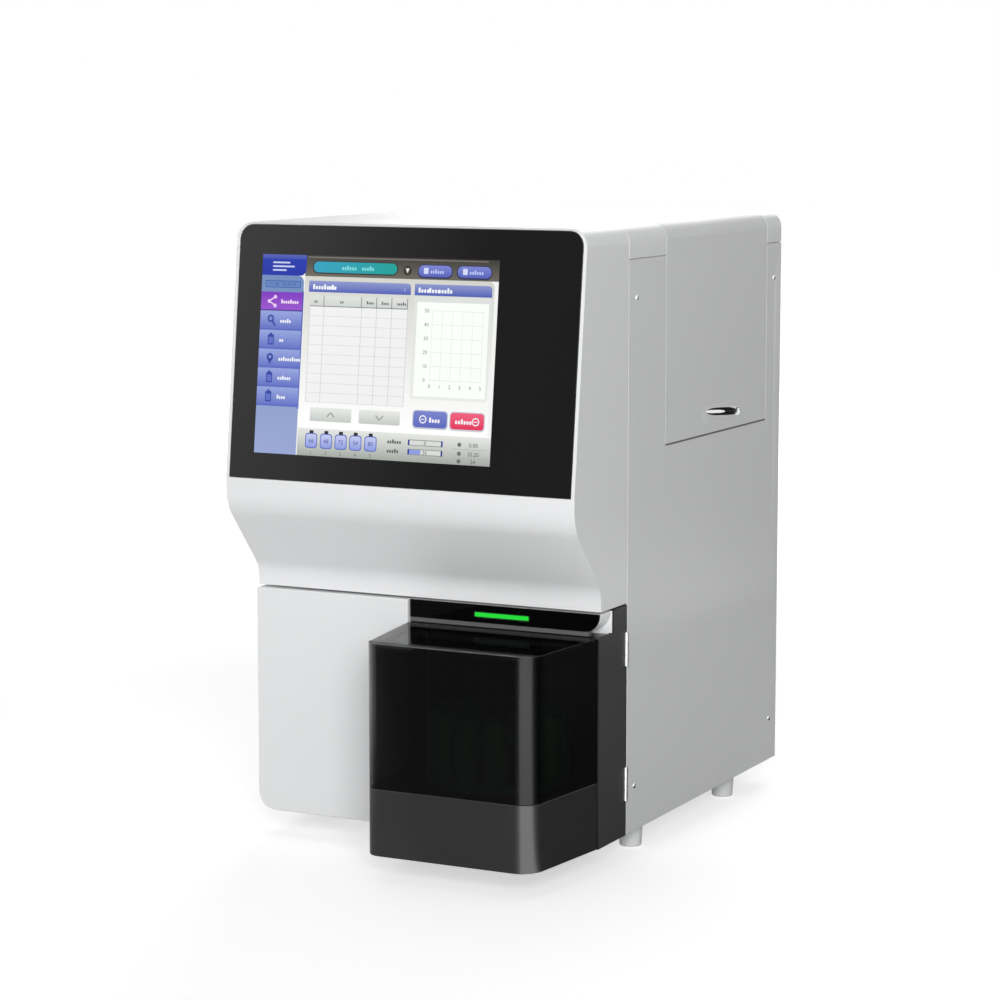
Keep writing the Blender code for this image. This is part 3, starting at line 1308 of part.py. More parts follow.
clear_scene()
make_chassis()
make_side_panel("left_side_panel", -1)
make_side_panel("right_side_panel", 1)
make_side_screws()
make_top_cover()
make_rear_panel()
make_front_housing()
make_touch_screen()
make_lower_front_panel()
make_fascia_and_light()
door_pivot = pivot_at("sampler_door_pivot", hinge_x, hinge_y, floor)
make_door(door_pivot)
make_hinge("lower", floor + HINGE_LOW, door_pivot)
make_hinge("upper", floor + HINGE_HIGH, door_pivot)
make_sampler_bay()
make_carousel(pivot_at("carousel_pivot", carousel.x, carousel.y, platform_top))
lift_pivot = pivot_at("arm_lift_pivot", post.x, post.y, arm_low)
make_sampler_arm(lift_pivot, pivot_at("arm_pivot", post.x, post.y, arm_low))
make_side_flap(pivot_at("side_flap_pivot", flap_axis_x, flap_front, flap_axis_z))
make_fan(pivot_at("fan_pivot", fan_x, rear - FAN_DEPTH, fan_z))
make_rear_fittings(pivot_at("rocker_pivot", switch_x, rear - SWITCH_AXIS_DEPTH, floor + INLET_HEIGHT))
make_inner_deck()
make_column_group()
make_syringe(pivot_at("syringe_pivot", syringe.x, syringe.y, syringe_low))
make_tray_units()
make_feet()
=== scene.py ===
import json
import math

import bmesh
import bpy
import numpy as np
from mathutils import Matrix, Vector


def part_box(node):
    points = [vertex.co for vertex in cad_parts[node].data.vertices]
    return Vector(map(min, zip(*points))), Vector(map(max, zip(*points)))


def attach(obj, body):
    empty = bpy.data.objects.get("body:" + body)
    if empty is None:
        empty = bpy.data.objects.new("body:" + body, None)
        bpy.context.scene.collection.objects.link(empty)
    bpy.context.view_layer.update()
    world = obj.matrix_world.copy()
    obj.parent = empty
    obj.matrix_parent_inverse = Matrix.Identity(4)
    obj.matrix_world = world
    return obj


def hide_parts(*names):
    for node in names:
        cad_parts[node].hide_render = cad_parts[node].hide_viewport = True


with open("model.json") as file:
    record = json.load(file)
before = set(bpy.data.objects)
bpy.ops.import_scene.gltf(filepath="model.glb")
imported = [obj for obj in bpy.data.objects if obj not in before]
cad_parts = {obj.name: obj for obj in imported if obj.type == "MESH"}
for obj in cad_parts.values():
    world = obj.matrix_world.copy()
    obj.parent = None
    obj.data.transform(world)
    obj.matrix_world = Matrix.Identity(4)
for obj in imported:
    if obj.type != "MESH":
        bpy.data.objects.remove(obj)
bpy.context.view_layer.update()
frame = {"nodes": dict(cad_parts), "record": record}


# Camera: a long lens from the right and a little above, as a catalogue picture is taken.
# The picture's centre falls on the side seam of the cabinet, so no shift is needed.
CAMERA_PLACE = (1.1056, -2.2122, 0.6040)
CAMERA_AZIMUTH = math.radians(26.66)
CAMERA_PITCH = math.radians(7.70)
LENS_MM = 107.0
SENSOR_MM = 36.0

scene = bpy.context.scene


def placed(name, data):
    """A new object of the data, linked to the scene."""
    holder = bpy.data.objects.new(name, data)
    scene.collection.objects.link(holder)
    return holder


camera_data = bpy.data.cameras.new("studio_camera")
camera_data.lens = LENS_MM
camera_data.sensor_width = SENSOR_MM
camera = placed("studio_camera", camera_data)
camera.location = CAMERA_PLACE
camera.rotation_euler = (math.pi / 2 - CAMERA_PITCH, 0, CAMERA_AZIMUTH)
scene.camera = camera
scene.view_settings.view_transform = "Standard"


# Studio: a white room and a sweep of white paper, which cameras, gloss and glass see as plain white.
# A large softbox stands front right, with weaker ones front left, low in front, overhead and behind.
ROOM_LIGHT = 0.09
FLOOR_REACH = 8.0
FLOOR_HEX = "#E6E6E6"
FLOOR_GLOW_NEAR = 0.56
FLOOR_GLOW_FAR = 1.0
GLOW_FROM = 0.7
GLOW_TO = 2.4


def linear(hex_colour):
    """An sRGB hex colour as linear RGBA: c / 12.92 up to 0.04045, above it ((c + 0.055) / 1.055) ** 2.4."""
    shares = np.array([int(hex_colour[i:i + 2], 16) for i in (1, 3, 5)]) / 255
    curve = ((shares + 0.055) / 1.055) ** 2.4
    return (*np.where(shares <= 0.04045, shares / 12.92, curve), 1.0)


def add_node(material, kind, settings=None, **links):
    """Add a shader node, set its sockets and properties, and link its sockets to other nodes' outputs.

    kind is the node's type after the word ShaderNode. A link's name is a socket's name with _ for a
    space, or in_0, in_1 and so on for a socket's number.
    """
    tree = material.node_tree
    node = tree.nodes.new("ShaderNode" + kind)
    for name, value in (settings or {}).items():
        if name in node.inputs.keys():
            node.inputs[name].default_value = value
        else:
            setattr(node, name, value)
    for name, source in links.items():
        place = int(name[3:]) if name.startswith("in_") else name.replace("_", " ")
        tree.links.new(source, node.inputs[place])
    return node


def computed(material, operation, *sources):
    """The output of a Math node that works on one or two outputs."""
    links = {f"in_{place}": source for place, source in enumerate(sources)}
    return add_node(material, "Math", {"operation": operation}, **links).outputs[0]


def ranged(material, source, start, end, low=0.0, high=1.0):
    """The output of a Map Range node: low becomes start and high becomes end, with nothing past them."""
    settings = {"From Min": low, "From Max": high, "To Min": start, "To Max": end}
    return add_node(material, "MapRange", settings, Value=source).outputs[0]


def shown_directly(material, plain, shown):
    """The shown shader for camera, glossy and transmission rays, and the plain one for all others.

    The mix between them is the largest of the three rays' flags, each of which is zero or one.
    """
    path = add_node(material, "LightPath")
    direct = computed(material, "MAXIMUM", path.outputs["Is Camera Ray"], path.outputs["Is Glossy Ray"])
    direct = computed(material, "MAXIMUM", direct, path.outputs["Is Transmission Ray"])
    mix = add_node(material, "MixShader", in_0=direct, in_1=plain.outputs[0], in_2=shown.outputs[0])
    return mix.outputs[0]


def blank_material(name):
    """A new material without any node."""
    material = bpy.data.materials.new(name)
    material.use_nodes = True
    material.node_tree.nodes.clear()
    return material


room = bpy.data.worlds.new("white_room")
scene.world = room
room.use_nodes = True
room.node_tree.nodes.clear()
room_glow = add_node(room, "Background", {"Color": (1, 1, 1, 1), "Strength": ROOM_LIGHT})
room_seen = add_node(room, "Background", {"Color": (1, 1, 1, 1)})
add_node(room, "OutputWorld", Surface=shown_directly(room, room_glow, room_seen))

# White paper: matt, with a glow for the eye that rises to white away from the object's shadow.
paper = blank_material("matt_white_paper")
paper_place = add_node(paper, "TexCoord").outputs["Object"]
paper_radius = add_node(paper, "VectorMath", {"operation": "LENGTH"}, in_0=paper_place)
paper_rise = ranged(
    paper, paper_radius.outputs["Value"], FLOOR_GLOW_NEAR, FLOOR_GLOW_FAR, GLOW_FROM, GLOW_TO
)
paper_matt = add_node(paper, "BsdfDiffuse", {"Color": linear(FLOOR_HEX)})
paper_glow = add_node(paper, "Emission", {"Color": (1, 1, 1, 1)}, Strength=paper_rise)
paper_lit = add_node(paper, "AddShader", in_0=paper_matt.outputs[0], in_1=paper_glow.outputs[0])
add_node(paper, "OutputMaterial", Surface=shown_directly(paper, paper_matt, paper_lit))

floor_mesh = bpy.data.meshes.new("paper_floor")
floor_corners = [(x * FLOOR_REACH, y * FLOOR_REACH, 0.0) for x, y in ((-1, -1), (1, -1), (1, 1), (-1, 1))]
floor_mesh.from_pydata(floor_corners, [], [(0, 1, 2, 3)])
floor_mesh.materials.append(paper)
paper_floor = placed("paper_floor", floor_mesh)


def softbox(name, azimuth, height, reach, size, power, target_height=0.25):
    """A square lamp at an azimuth from the front (degrees, right is positive), aimed at the object."""
    turn = math.radians(azimuth)
    place = Vector((reach * math.sin(turn), -reach * math.cos(turn), height))
    lamp = bpy.data.lights.new(name, "AREA")
    lamp.size = size
    lamp.energy = power
    holder = placed(name, lamp)
    holder.location = place
    holder.rotation_euler = (Vector((0, 0, target_height)) - place).to_track_quat("-Z", "Y").to_euler()


softbox("key_softbox", azimuth=30, height=1.4, reach=3.5, size=1.4, power=76)
softbox("fill_softbox", azimuth=-28, height=2.0, reach=3.3, size=2.0, power=7)
softbox("top_softbox", azimuth=160, height=2.7, reach=0.2, size=1.6, power=8, target_height=0.5)
softbox("low_softbox", azimuth=18, height=0.3, reach=3.2, size=1.0, power=16)
softbox("rear_softbox", azimuth=195, height=1.8, reach=3.2, size=1.8, power=48)


def reflected_board(name, grid, shades):
    """A board that only reflections see: a grid of points whose brightness is given at each of them.

    grid is rows by columns by 3, and shades is rows by columns, where 1 is white paper.
    """
    rows, columns = shades.shape
    row, column = np.meshgrid(np.arange(rows - 1), np.arange(columns - 1), indexing="ij")
    first = row * columns + column
    faces = np.stack([first, first + 1, first + columns + 1, first + columns], 2).reshape(-1, 4)
    mesh = bpy.data.meshes.new(name)
    mesh.from_pydata(grid.reshape(-1, 3).tolist(), [], faces.tolist())
    shade_layer = mesh.color_attributes.new("shade", "FLOAT_COLOR", "POINT")
    colours = np.repeat(shades.reshape(-1, 1), 4, axis=1)
    shade_layer.data.foreach_set("color", colours.astype(np.float32).ravel())
    board = blank_material(name + "_paint")
    shade = add_node(board, "Attribute", {"attribute_name": "shade"})
    glow = add_node(board, "Emission", Color=shade.outputs["Color"])
    add_node(board, "OutputMaterial", Surface=glow.outputs[0])
    mesh.materials.append(board)
    piece = placed(name, mesh)
    piece.visible_camera = False
    piece.visible_diffuse = False
    piece.visible_transmission = False
    piece.visible_shadow = False


# Round the object the floor's reflection is grey front left, bright front right and dark on the right.
# The bright part is a strip lamp laid on the floor, which only the rounded black corners pick up.
SWEEP_CENTRE = (0.13, -0.19, 0.001)
SWEEP_RADII = (0.02, 0.45, 0.80, 3.0)
SWEEP_AZIMUTHS = (-180, -125, -52, -40, -10, 2, 12, 60, 76, 96, 168, 180)
SWEEP_NEAR_SHADES = (0.5, 0.5, 0.5, 0.30, 0.30, 0.9, 4.2, 4.2, 0.7, 0.07, 0.07, 0.5)
SWEEP_FAR_SHADES = (1.0, 2.4, 2.2, 0.27, 0.27, 1.0, 4.9, 4.9, 0.8, 0.10, 0.10, 1.0)
SWEEP_STEP = 3

azimuths = np.arange(-180, 180 + SWEEP_STEP, SWEEP_STEP, dtype=float)
sweep_turn, sweep_radius = np.meshgrid(np.radians(azimuths), SWEEP_RADII, indexing="ij")
sweep_ways = np.stack([np.sin(sweep_turn), -np.cos(sweep_turn), np.zeros_like(sweep_turn)], 2)
sweep_grid = SWEEP_CENTRE + sweep_radius[:, :, None] * sweep_ways
near_shades = np.interp(azimuths, SWEEP_AZIMUTHS, SWEEP_NEAR_SHADES)
far_shades = np.interp(azimuths, SWEEP_AZIMUTHS, SWEEP_FAR_SHADES)
sweep_shades = np.column_stack([near_shades, near_shades, far_shades, far_shades])
reflected_board("floor_sweep", sweep_grid, sweep_shades)

# A dark board stands beyond the right side, and a grey one front left shades across the glass.
SIDE_BOARD_X = 0.9
SIDE_BOARD_Y = (0.15, 3.0)
SIDE_BOARD_TOP = 0.5
SIDE_BOARD_SHADE = 0.06
GLASS_BOARD_X = (-1.85, -1.62, -1.40, -1.18, -0.90)
GLASS_BOARD_Y = -2.8
GLASS_BOARD_Z = (0.15, 1.6)
GLASS_BOARD_SHADES = ((0.84, 1.40), (0.58, 1.20), (0.28, 0.66), (0.28, 0.32), (0.28, 0.28))


def flat_grid(x, y, z):
    """The grid of points of a flat board, one of whose three axes has a single value."""
    return np.squeeze(np.stack(np.meshgrid(x, y, z, indexing="ij"), -1))


side_grid = flat_grid(SIDE_BOARD_X, SIDE_BOARD_Y, (0.0, SIDE_BOARD_TOP))
reflected_board("dark_side_board", side_grid, np.full((2, 2), SIDE_BOARD_SHADE))
glass_grid = flat_grid(GLASS_BOARD_X, GLASS_BOARD_Y, GLASS_BOARD_Z)
reflected_board("grey_front_board", glass_grid, np.array(GLASS_BOARD_SHADES))

# A white card lies low beside the flap's pull, and brightens the ring of its bead.
CARD_X = (0.20, 0.46)
CARD_Y = (0.06, 0.34)
CARD_HEIGHT = 0.16

reflected_board("white_card", flat_grid(CARD_X, CARD_Y, CARD_HEIGHT), np.ones((2, 2)))


# Chassis: a base tray, uprights and cross rails, with the upper deck that carries the wet parts.
# All are 1.5 mm steel sheet, zinc plated, folded and spot welded, and the deck is enamelled grey.
MERGE = 1e-6
FLAT_ANGLE = math.radians(0.5)
CORNER_ANGLE = math.radians(32)
NOISE_REACH = (0.3, 0.7)

body_of = {node: body for body, nodes in frame["record"]["behaviour"]["bodies"].items() for node in nodes}


def finish(
    name, colour, roughness, metallic=0.0, drift_mm=60.0, drift=0.04, tone=0.03,
    grain="TexNoise", grain_mm=0.8, grain_um=0.0, stretch=(1.0, 1.0, 1.0), **sockets,
):
    """A Principled surface in real units, on Object coordinates.

    Roughness drifts by drift, and the colour darkens by up to tone, with a noise drift_mm wide.
    The bump is the grain texture, grain_mm wide and grain_um deep, drawn out by stretch along each axis.
    """
    material = blank_material(name)
    place = add_node(material, "TexCoord")
    squeeze = add_node(material, "Mapping", {"Scale": stretch}, Vector=place.outputs["Object"])
    width = {"Scale": 1000 / drift_mm, "Detail": 4.0}
    cloud = add_node(material, "TexNoise", width, Vector=squeeze.outputs[0]).outputs["Fac"]
    spread = ranged(material, cloud, roughness - drift / 2, roughness + drift / 2, *NOISE_REACH)
    full = linear(colour)
    shade = add_node(material, "Mix", {"data_type": "RGBA"}, Factor=cloud)
    shade.inputs[6].default_value = full
    shade.inputs[7].default_value = (*(share * (1 - tone) for share in full[:3]), 1.0)
    settings = {"Metallic": metallic}
    settings.update({socket.replace("_", " "): value for socket, value in sockets.items()})
    links = {"Base_Color": shade.outputs[2], "Roughness": spread}
    if grain_um:
        weave = add_node(material, grain, {"Scale": 1000 / grain_mm}, Vector=squeeze.outputs[0])
        height = weave.outputs["Distance" if grain == "TexVoronoi" else "Fac"]
        depth = {"Strength": 1.0, "Distance": grain_um / 1e6}
        links["Normal"] = add_node(material, "Bump", depth, Height=height).outputs[0]
    surface = add_node(material, "BsdfPrincipled", settings, **links)
    add_node(material, "OutputMaterial", Surface=surface.outputs[0])
    return material


def stand_for(piece, node):
    """The piece takes the CAD node's place: its body and its turn to be seen."""
    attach(piece, body_of[node])
    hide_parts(node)


def smooth_piece(name, mesh, *materials):
    """An object of the mesh in these materials, shaded round except at its corners."""
    for material in materials:
        mesh.materials.append(material)
    mesh.shade_smooth()
    mesh.set_sharp_from_angle(angle=CORNER_ANGLE)
    return placed(name, mesh)


def edged(node, material, edge_mm=0.4, segments=2, whole_faces=True):
    """The node's own solid, merged, with its edges broken by a small radius and shaded round.

    Triangles in one plane become one face, unless whole_faces is off, as for a sheet with a large cut-out.
    """
    shape = bmesh.new()
    shape.from_mesh(frame["nodes"][node].data)
    bmesh.ops.remove_doubles(shape, verts=shape.verts, dist=MERGE)
    if whole_faces:
        bmesh.ops.dissolve_limit(shape, angle_limit=FLAT_ANGLE, verts=shape.verts, edges=shape.edges)
    mesh = bpy.data.meshes.new(node + "_finished")
    shape.to_mesh(mesh)
    shape.free()
    mesh.materials.clear()
    piece = smooth_piece(node + "_finished", mesh, material)
    if edge_mm:
        rounding = piece.modifiers.new("edge_radius", "BEVEL")
        rounding.width = edge_mm / 1000
        rounding.segments = segments
        rounding.limit_method = "ANGLE"
        rounding.angle_limit = CORNER_ANGLE
        rounding.harden_normals = True
    stand_for(piece, node)
    return piece


# Bright zinc: a cool grey metal with the faint flowers of the plating, a few millimetres across.
zinc = finish("bright_zinc_plate", "#B9BCBE", 0.42, 0.8, drift_mm=7.0, drift=0.16, tone=0.10)
edged("chassis_frame", zinc, 0.2)
deck_grey = finish("light_grey_stove_enamel", "#C9CBCC", 0.5, tone=0.04, grain_mm=1.0, grain_um=6.0)
edged("inner_deck", deck_grey, 0.2)


# Power supply, pump, oven and detector: bought-in modules in folded or cast aluminium cases.
# They are screwed to the tray and the deck, and each is seen only with the flap lifted or a panel off.
blasted_aluminium = finish(
    "bead_blasted_aluminium", "#C6C9CB", 0.50, 0.75, drift_mm=25.0, drift=0.06, grain_mm=0.5, grain_um=8.0
)
for node in ("power_supply", "eluent_pump", "column_oven", "detector_unit"):
    edged(node, blasted_aluminium, 0.4)


# Separation column, injection valve and syringe: turned stainless steel and a drawn glass barrel.
# The column lies in the oven's clamp, the valve hangs before it, and the plunger slides in the glass.
TURNED_STRETCH = (6.0, 0.3, 6.0)

turned_steel = finish(
    "turned_stainless_steel", "#CFD1D3", 0.22, 1.0, drift_mm=3.0, drift=0.08,
    grain_mm=0.5, grain_um=3.0, stretch=TURNED_STRETCH,
)
borosilicate = finish(
    "drawn_borosilicate_glass", "#F4F8F9", 0.03, drift=0.01, tone=0.0, Transmission_Weight=1.0, IOR=1.47
)
for node in ("separation_column", "injection_valve", "syringe_plunger"):
    edged(node, turned_steel, 0.3)
edged("syringe_barrel", borosilicate, 0.2)


# Rear panel: steel sheet with pressed slots, powder coated pale grey, screwed to the chassis flanges.
# It carries the fan, the mains inlet and its switch, the data sockets and the fluid couplings.
powder_grey = finish(
    "pale_grey_powder_coat", "#E4E5E6", 0.46, drift_mm=80.0, tone=0.02,
    grain="TexVoronoi", grain_mm=1.6, grain_um=14.0,
)
edged("rear_panel", powder_grey, 0.2)

black_nylon = finish("glass_filled_black_nylon", "#1D1E1F", 0.48, drift_mm=20.0, grain_mm=0.7, grain_um=14.0)
fan_black = finish("moulded_black_pbt", "#232425", 0.40, drift_mm=12.0, grain_mm=0.9, grain_um=8.0)
gloss_rocker = finish("polished_black_rocker", "#101011", 0.15, drift_mm=8.0, drift=0.05)
edged("power_inlet", black_nylon, 0.4)
edged("switch_frame", black_nylon, 0.3)
edged("switch_rocker", gloss_rocker, 0.4, 3)
edged("data_ports", zinc, 0.2)
edged("fluid_ports", turned_steel, 0.3)
edged("fan_frame", fan_black, 0.5)
edged("fan_rotor", fan_black, 0.3)


# Side panels: one folded sheet each, 1.2 mm steel, powder coated grey and held by four screws.
# The coat's fine orange peel only softens the light, and its satin hides finger marks.
edged("left_side_panel", powder_grey, 1.0, 3)
edged("right_side_panel", powder_grey, 1.0, 3, whole_faces=False)


# Side screws: low round-head screws of stainless steel with a hexagon socket, four to a side.
# Each is a turned shape whose profile runs from the shank's end, over the head, into the socket.
SHANK_RADIUS = 0.0014
SOCKET_ACROSS = 0.0022
SOCKET_DEPTH = 0.0009
SOCKET_CHAMFER = 0.0001
HEAD_THICKNESS = 0.0016
DOME_RINGS = 8
TURN_STEPS = 48

turn_angle = np.linspace(0, 2 * np.pi, TURN_STEPS, endpoint=False)


def ringed(name, rings, *materials):
    """A closed body on an array of rings by points by 3. Its faces are a band from each ring to the next,
    then a fan from the middle of the first ring, and one from the middle of the last.
    """
    rows, count = rings.shape[:2]
    row, here = np.meshgrid(np.arange(rows - 1), np.arange(count), indexing="ij")
    low, high, ahead = row * count, (row + 1) * count, (here + 1) % count
    faces = np.stack([low + here, low + ahead, high + ahead, high + here], 2).reshape(-1, 4).tolist()
    points = np.vstack([rings.reshape(-1, 3), rings[0].mean(0), rings[-1].mean(0)])
    for pole, start in ((rows * count, 0), (rows * count + 1, (rows - 1) * count)):
        faces += [[pole, start + step, start + (step + 1) % count] for step in range(count)]
    mesh = bpy.data.meshes.new(name)
    mesh.from_pydata(points.tolist(), [], faces)
    shape = bmesh.new()
    shape.from_mesh(mesh)
    bmesh.ops.recalc_face_normals(shape, faces=shape.faces)
    shape.to_mesh(mesh)
    shape.free()
    return smooth_piece(name, mesh, *materials)


def turned(name, radii, heights, material, form=1.0):
    """A closed body of rings: ring i has radius radii[i] at height heights[i].

    form, if given, is an array of rings by steps that multiplies the radius all round.
    """
    reach = np.array(radii)[:, None] * np.ones(TURN_STEPS) * form
    height = np.repeat(heights, TURN_STEPS).reshape(reach.shape)
    rings = np.stack([reach * np.cos(turn_angle), reach * np.sin(turn_angle), height], 2)
    return ringed(name, rings, material)


def points_of(mesh):
    """The mesh's points, as rows of x, y and z."""
    points = np.empty(len(mesh.vertices) * 3)
    mesh.vertices.foreach_get("co", points)
    return points.reshape(-1, 3)


def move_mesh(piece, rows, offset):
    """Turn and move the mesh itself, not its object: each point p becomes rows . p + offset."""
    moved = points_of(piece.data) @ np.array(rows, float).T + np.array(offset)
    piece.data.vertices.foreach_set("co", moved.ravel())
    piece.data.update()


def socket_screw(node):
    """A button-head screw whose axis is X, its head on the outer face of a side panel."""
    lo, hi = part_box(node)
    length = hi.x - lo.x
    seat = length - HEAD_THICKNESS
    socket = SOCKET_ACROSS / 2
    dome = np.linspace(0, np.pi / 2, DOME_RINGS)
    dome_radii = socket + ((hi.z - lo.z) / 2 - socket) * np.cos(dome)
    dome_heights = seat + HEAD_THICKNESS * np.sin(dome)
    radii = [SHANK_RADIUS, SHANK_RADIUS, *dome_radii, socket, socket]
    heights = [0, seat, *dome_heights, length - SOCKET_CHAMFER, length - SOCKET_DEPTH]
    sixth = np.pi / 3
    form = np.ones((len(radii), TURN_STEPS))
    form[-2:] = np.cos(sixth / 2) / np.cos(turn_angle % sixth - sixth / 2)
    screw = turned(node + "_finished", radii, heights, turned_steel, form)
    out, base = (1, lo.x) if "right" in node else (-1, hi.x)
    rows = [(0, 0, out), (out, 0, 0), (0, 1, 0)]
    move_mesh(screw, rows, (base, (hi.y + lo.y) / 2, (hi.z + lo.z) / 2))
    stand_for(screw, node)


for node in sorted(frame["nodes"]):
    if node.startswith("side_screw_"):
        socket_screw(node)


# Feet: four moulded rubber feet on screws through the base tray, pale grey to match the panels.
# Each tapers a little towards the floor, with a rounded rim that keeps it from marking the bench.
FOOT_TAPER_SHARE = 0.90
FOOT_RIM = 0.0016
FOOT_BEND_POINTS = 7

foot_rubber = finish(
    "moulded_grey_rubber", "#E1E2E3", 0.66, drift_mm=9.0, drift=0.08, tone=0.06, grain_mm=0.6, grain_um=16.0
)
for node in sorted(frame["nodes"]):
    if node.startswith("foot_"):
        lo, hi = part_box(node)
        radius = (hi.x - lo.x) / 2
        low_radius = radius * FOOT_TAPER_SHARE
        bend = np.linspace(0, np.pi / 2, FOOT_BEND_POINTS)
        rim_radii = low_radius - FOOT_RIM + FOOT_RIM * np.sin(bend)
        rim_heights = FOOT_RIM - FOOT_RIM * np.cos(bend)
        crown_radii = radius - FOOT_RIM / 2 + FOOT_RIM / 2 * np.cos(bend)
        crown_heights = hi.z - lo.z - FOOT_RIM / 2 + FOOT_RIM / 2 * np.sin(bend)
        foot = turned(
            node + "_finished", [*rim_radii, *crown_radii], [*rim_heights, *crown_heights], foot_rubber
        )
        move_mesh(foot, np.eye(3), ((lo.x + hi.x) / 2, (lo.y + hi.y) / 2, lo.z))
        stand_for(foot, node)


# Top cover: a pressed steel lid with rolled edges, powder coated white, which drops over both sides.
powder_white = finish(
    "white_powder_coat", "#ECEDEE", 0.42, drift_mm=90.0, tone=0.02,
    grain="TexVoronoi", grain_mm=1.6, grain_um=12.0,
)
edged("top_cover", powder_white, 0.5, 3)


# Front housing: one deep ABS moulding, whose nose runs under the screen and back in an S to the chin.
# Its white is moulded through, with a fine spark-eroded skin that keeps every curve softly shaded.
white_abs = finish(
    "spark_eroded_white_abs", "#EEEFF0", 0.40, drift_mm=120.0, tone=0.02, grain_mm=0.9, grain_um=9.0
)
edged("front_housing", white_abs, 1.2, 4)
edged("lower_front_panel", white_abs, 1.0, 4)


# Display module: a metal-backed liquid crystal panel and its board, clipped behind the glass.
module_grey = finish("stamped_grey_steel", "#8C8F92", 0.42, 1.0, drift_mm=15.0, drift=0.08)
edged("display_module", module_grey, 0.3)


# Touch glass: 2 mm soda-lime glass, printed black behind, with a ground edge, bonded into the housing.
# Polished and dark, it shows the room as a faint veil, with the least clouding from wiping.
printed_glass = finish(
    "back_printed_touch_glass", "#070708", 0.035, drift_mm=45.0, drift=0.02, tone=0.0, IOR=1.5
)
edged("touch_glass", printed_glass, 0.3)


# Screen picture: the lit window in the glass, 10.4 inch, four by three, under a general worklist layout.
# Each mark is a thin closed plate on the glass, and rows of small blocks serve as words.
SCREEN_WIDTH = 0.2112
SCREEN_HEIGHT = 0.1584
SCREEN_SIZE = np.array([SCREEN_WIDTH, SCREEN_HEIGHT])
SCREEN_CENTRE_X = -0.0240
SCREEN_RISE = 0.0208
LAYER_STEP = 0.000012
ARC_POINTS = 7
DISC_CORNER_SHARE = 0.999
LETTER_PITCH_SHARE = 0.62
BLOCK_WIDTH_SHARE = 0.72
LOW_BLOCK_SHARE = 0.68
BLOCK_CORNER_SHARE = 0.16
TYPE_SIZE_SHARE = 1.4

glass_points = points_of(frame["nodes"]["touch_glass"].data)
glass_foot = glass_points[glass_points[:, 1].argmin()]
glass_head = glass_points[glass_points[:, 2].argmax()]
slope = (glass_head - glass_foot) * (0, 1, 1)
screen_up = slope / np.linalg.norm(slope)
screen_axes = np.array([[1.0, 0.0, 0.0], -screen_up, [0.0, -screen_up[2], screen_up[1]]])
screen_left = SCREEN_CENTRE_X - SCREEN_WIDTH / 2
screen_corner = np.array([screen_left, *glass_foot[1:]]) + screen_up * (SCREEN_RISE + SCREEN_HEIGHT)

ink_points, ink_faces, ink_colours = [], [], []


def lay_ink(points, faces, colours):
    """Add points in screen metres (right, down, out of the glass) with their faces and linear colours."""
    start = sum(map(len, ink_points))
    ink_points.append(screen_corner + points @ screen_axes)
    ink_colours.append(np.array(colours))
    ink_faces.extend([[index + start for index in face] for face in faces])


def sheet(outline, colour, layer, low_colour=None, across=False):
    """A closed plate over an outline, given clockwise in screen shares, shaded down or across it."""
    flat = np.array(outline) * SCREEN_SIZE
    count = len(flat)
    top = np.column_stack([flat, np.full(count, LAYER_STEP * (layer + 1))])
    bottom = np.column_stack([flat, np.full(count, LAYER_STEP * 0.5)])
    run = flat[:, 0] if across else flat[:, 1]
    share = ((run - run.min()) / max(np.ptp(run), 1e-9))[:, None]
    near, far = np.array(linear(colour)), np.array(linear(low_colour or colour))
    shades = near * (1 - share) + far * share
    order = list(range(count))
    sides = [[i, (i + 1) % count, (i + 1) % count + count, i + count] for i in order]
    faces = [order[::-1], [i + count for i in order]] + sides
    lay_ink(np.vstack([top, bottom]), faces, np.vstack([shades, shades]))


def rounded(left, top, right, bottom, radius=0.0, corners=(1, 1, 1, 1)):
    """A rectangle in screen shares; each corner with a 1 is a quarter circle of the radius in metres."""
    if not radius:
        return [(left, top), (right, top), (right, bottom), (left, bottom)]
    reach = radius / SCREEN_SIZE
    points = []
    for index, (x, y) in enumerate(((left, top), (right, top), (right, bottom), (left, bottom))):
        if not corners[index]:
            points.append((x, y))
            continue
        inward = np.array([1 if x == left else -1, 1 if y == top else -1])
        angles = np.radians(180 + 90 * index) + np.linspace(0, np.pi / 2, ARC_POINTS)
        arc = np.array([x, y]) + inward * reach + np.column_stack([np.cos(angles), np.sin(angles)]) * reach
        points.extend(map(tuple, arc))
    return points


def plate(box, colour, layer, low_colour=None, across=False):
    """A closed plate over a box in screen shares: left, top, right, bottom and any radius and corners."""
    sheet(rounded(*box), colour, layer, low_colour, across)


def disc(x, y, radius, colour, layer):
    """A round dot: a rounded square whose corners all but meet."""
    reach_x, reach_y = radius / SCREEN_SIZE
    corner = radius * DISC_CORNER_SHARE
    plate((x - reach_x, y - reach_y, x + reach_x, y + reach_y, corner), colour, layer)


def bar(x0, y0, x1, y1, width, colour, layer):
    """A straight stroke of a width in metres between two places in screen shares."""
    start, end = SCREEN_SIZE * [(x0, y0), (x1, y1)]
    along = (end - start) / np.linalg.norm(end - start)
    side = np.array([-along[1], along[0]]) * width / 2
    sheet(np.array([start - side, end - side, end + side, start + side]) / SCREEN_SIZE, colour, layer)


def word(x, y, letters, height, colour, layer):
    """A row of small blocks that stands for a word: tall or low by turns, none of them a letter."""
    pitch = height * LETTER_PITCH_SHARE
    for index in range(letters):
        tall = 1.0 if (index * 5 + letters) % 4 == 0 else LOW_BLOCK_SHARE
        left = x + index * pitch / SCREEN_WIDTH
        right = left + pitch * BLOCK_WIDTH_SHARE / SCREEN_WIDTH
        low = y + height / 2 / SCREEN_HEIGHT
        high = low - tall * height / SCREEN_HEIGHT
        plate((left, high, right, low, height * BLOCK_CORNER_SHARE), colour, layer)


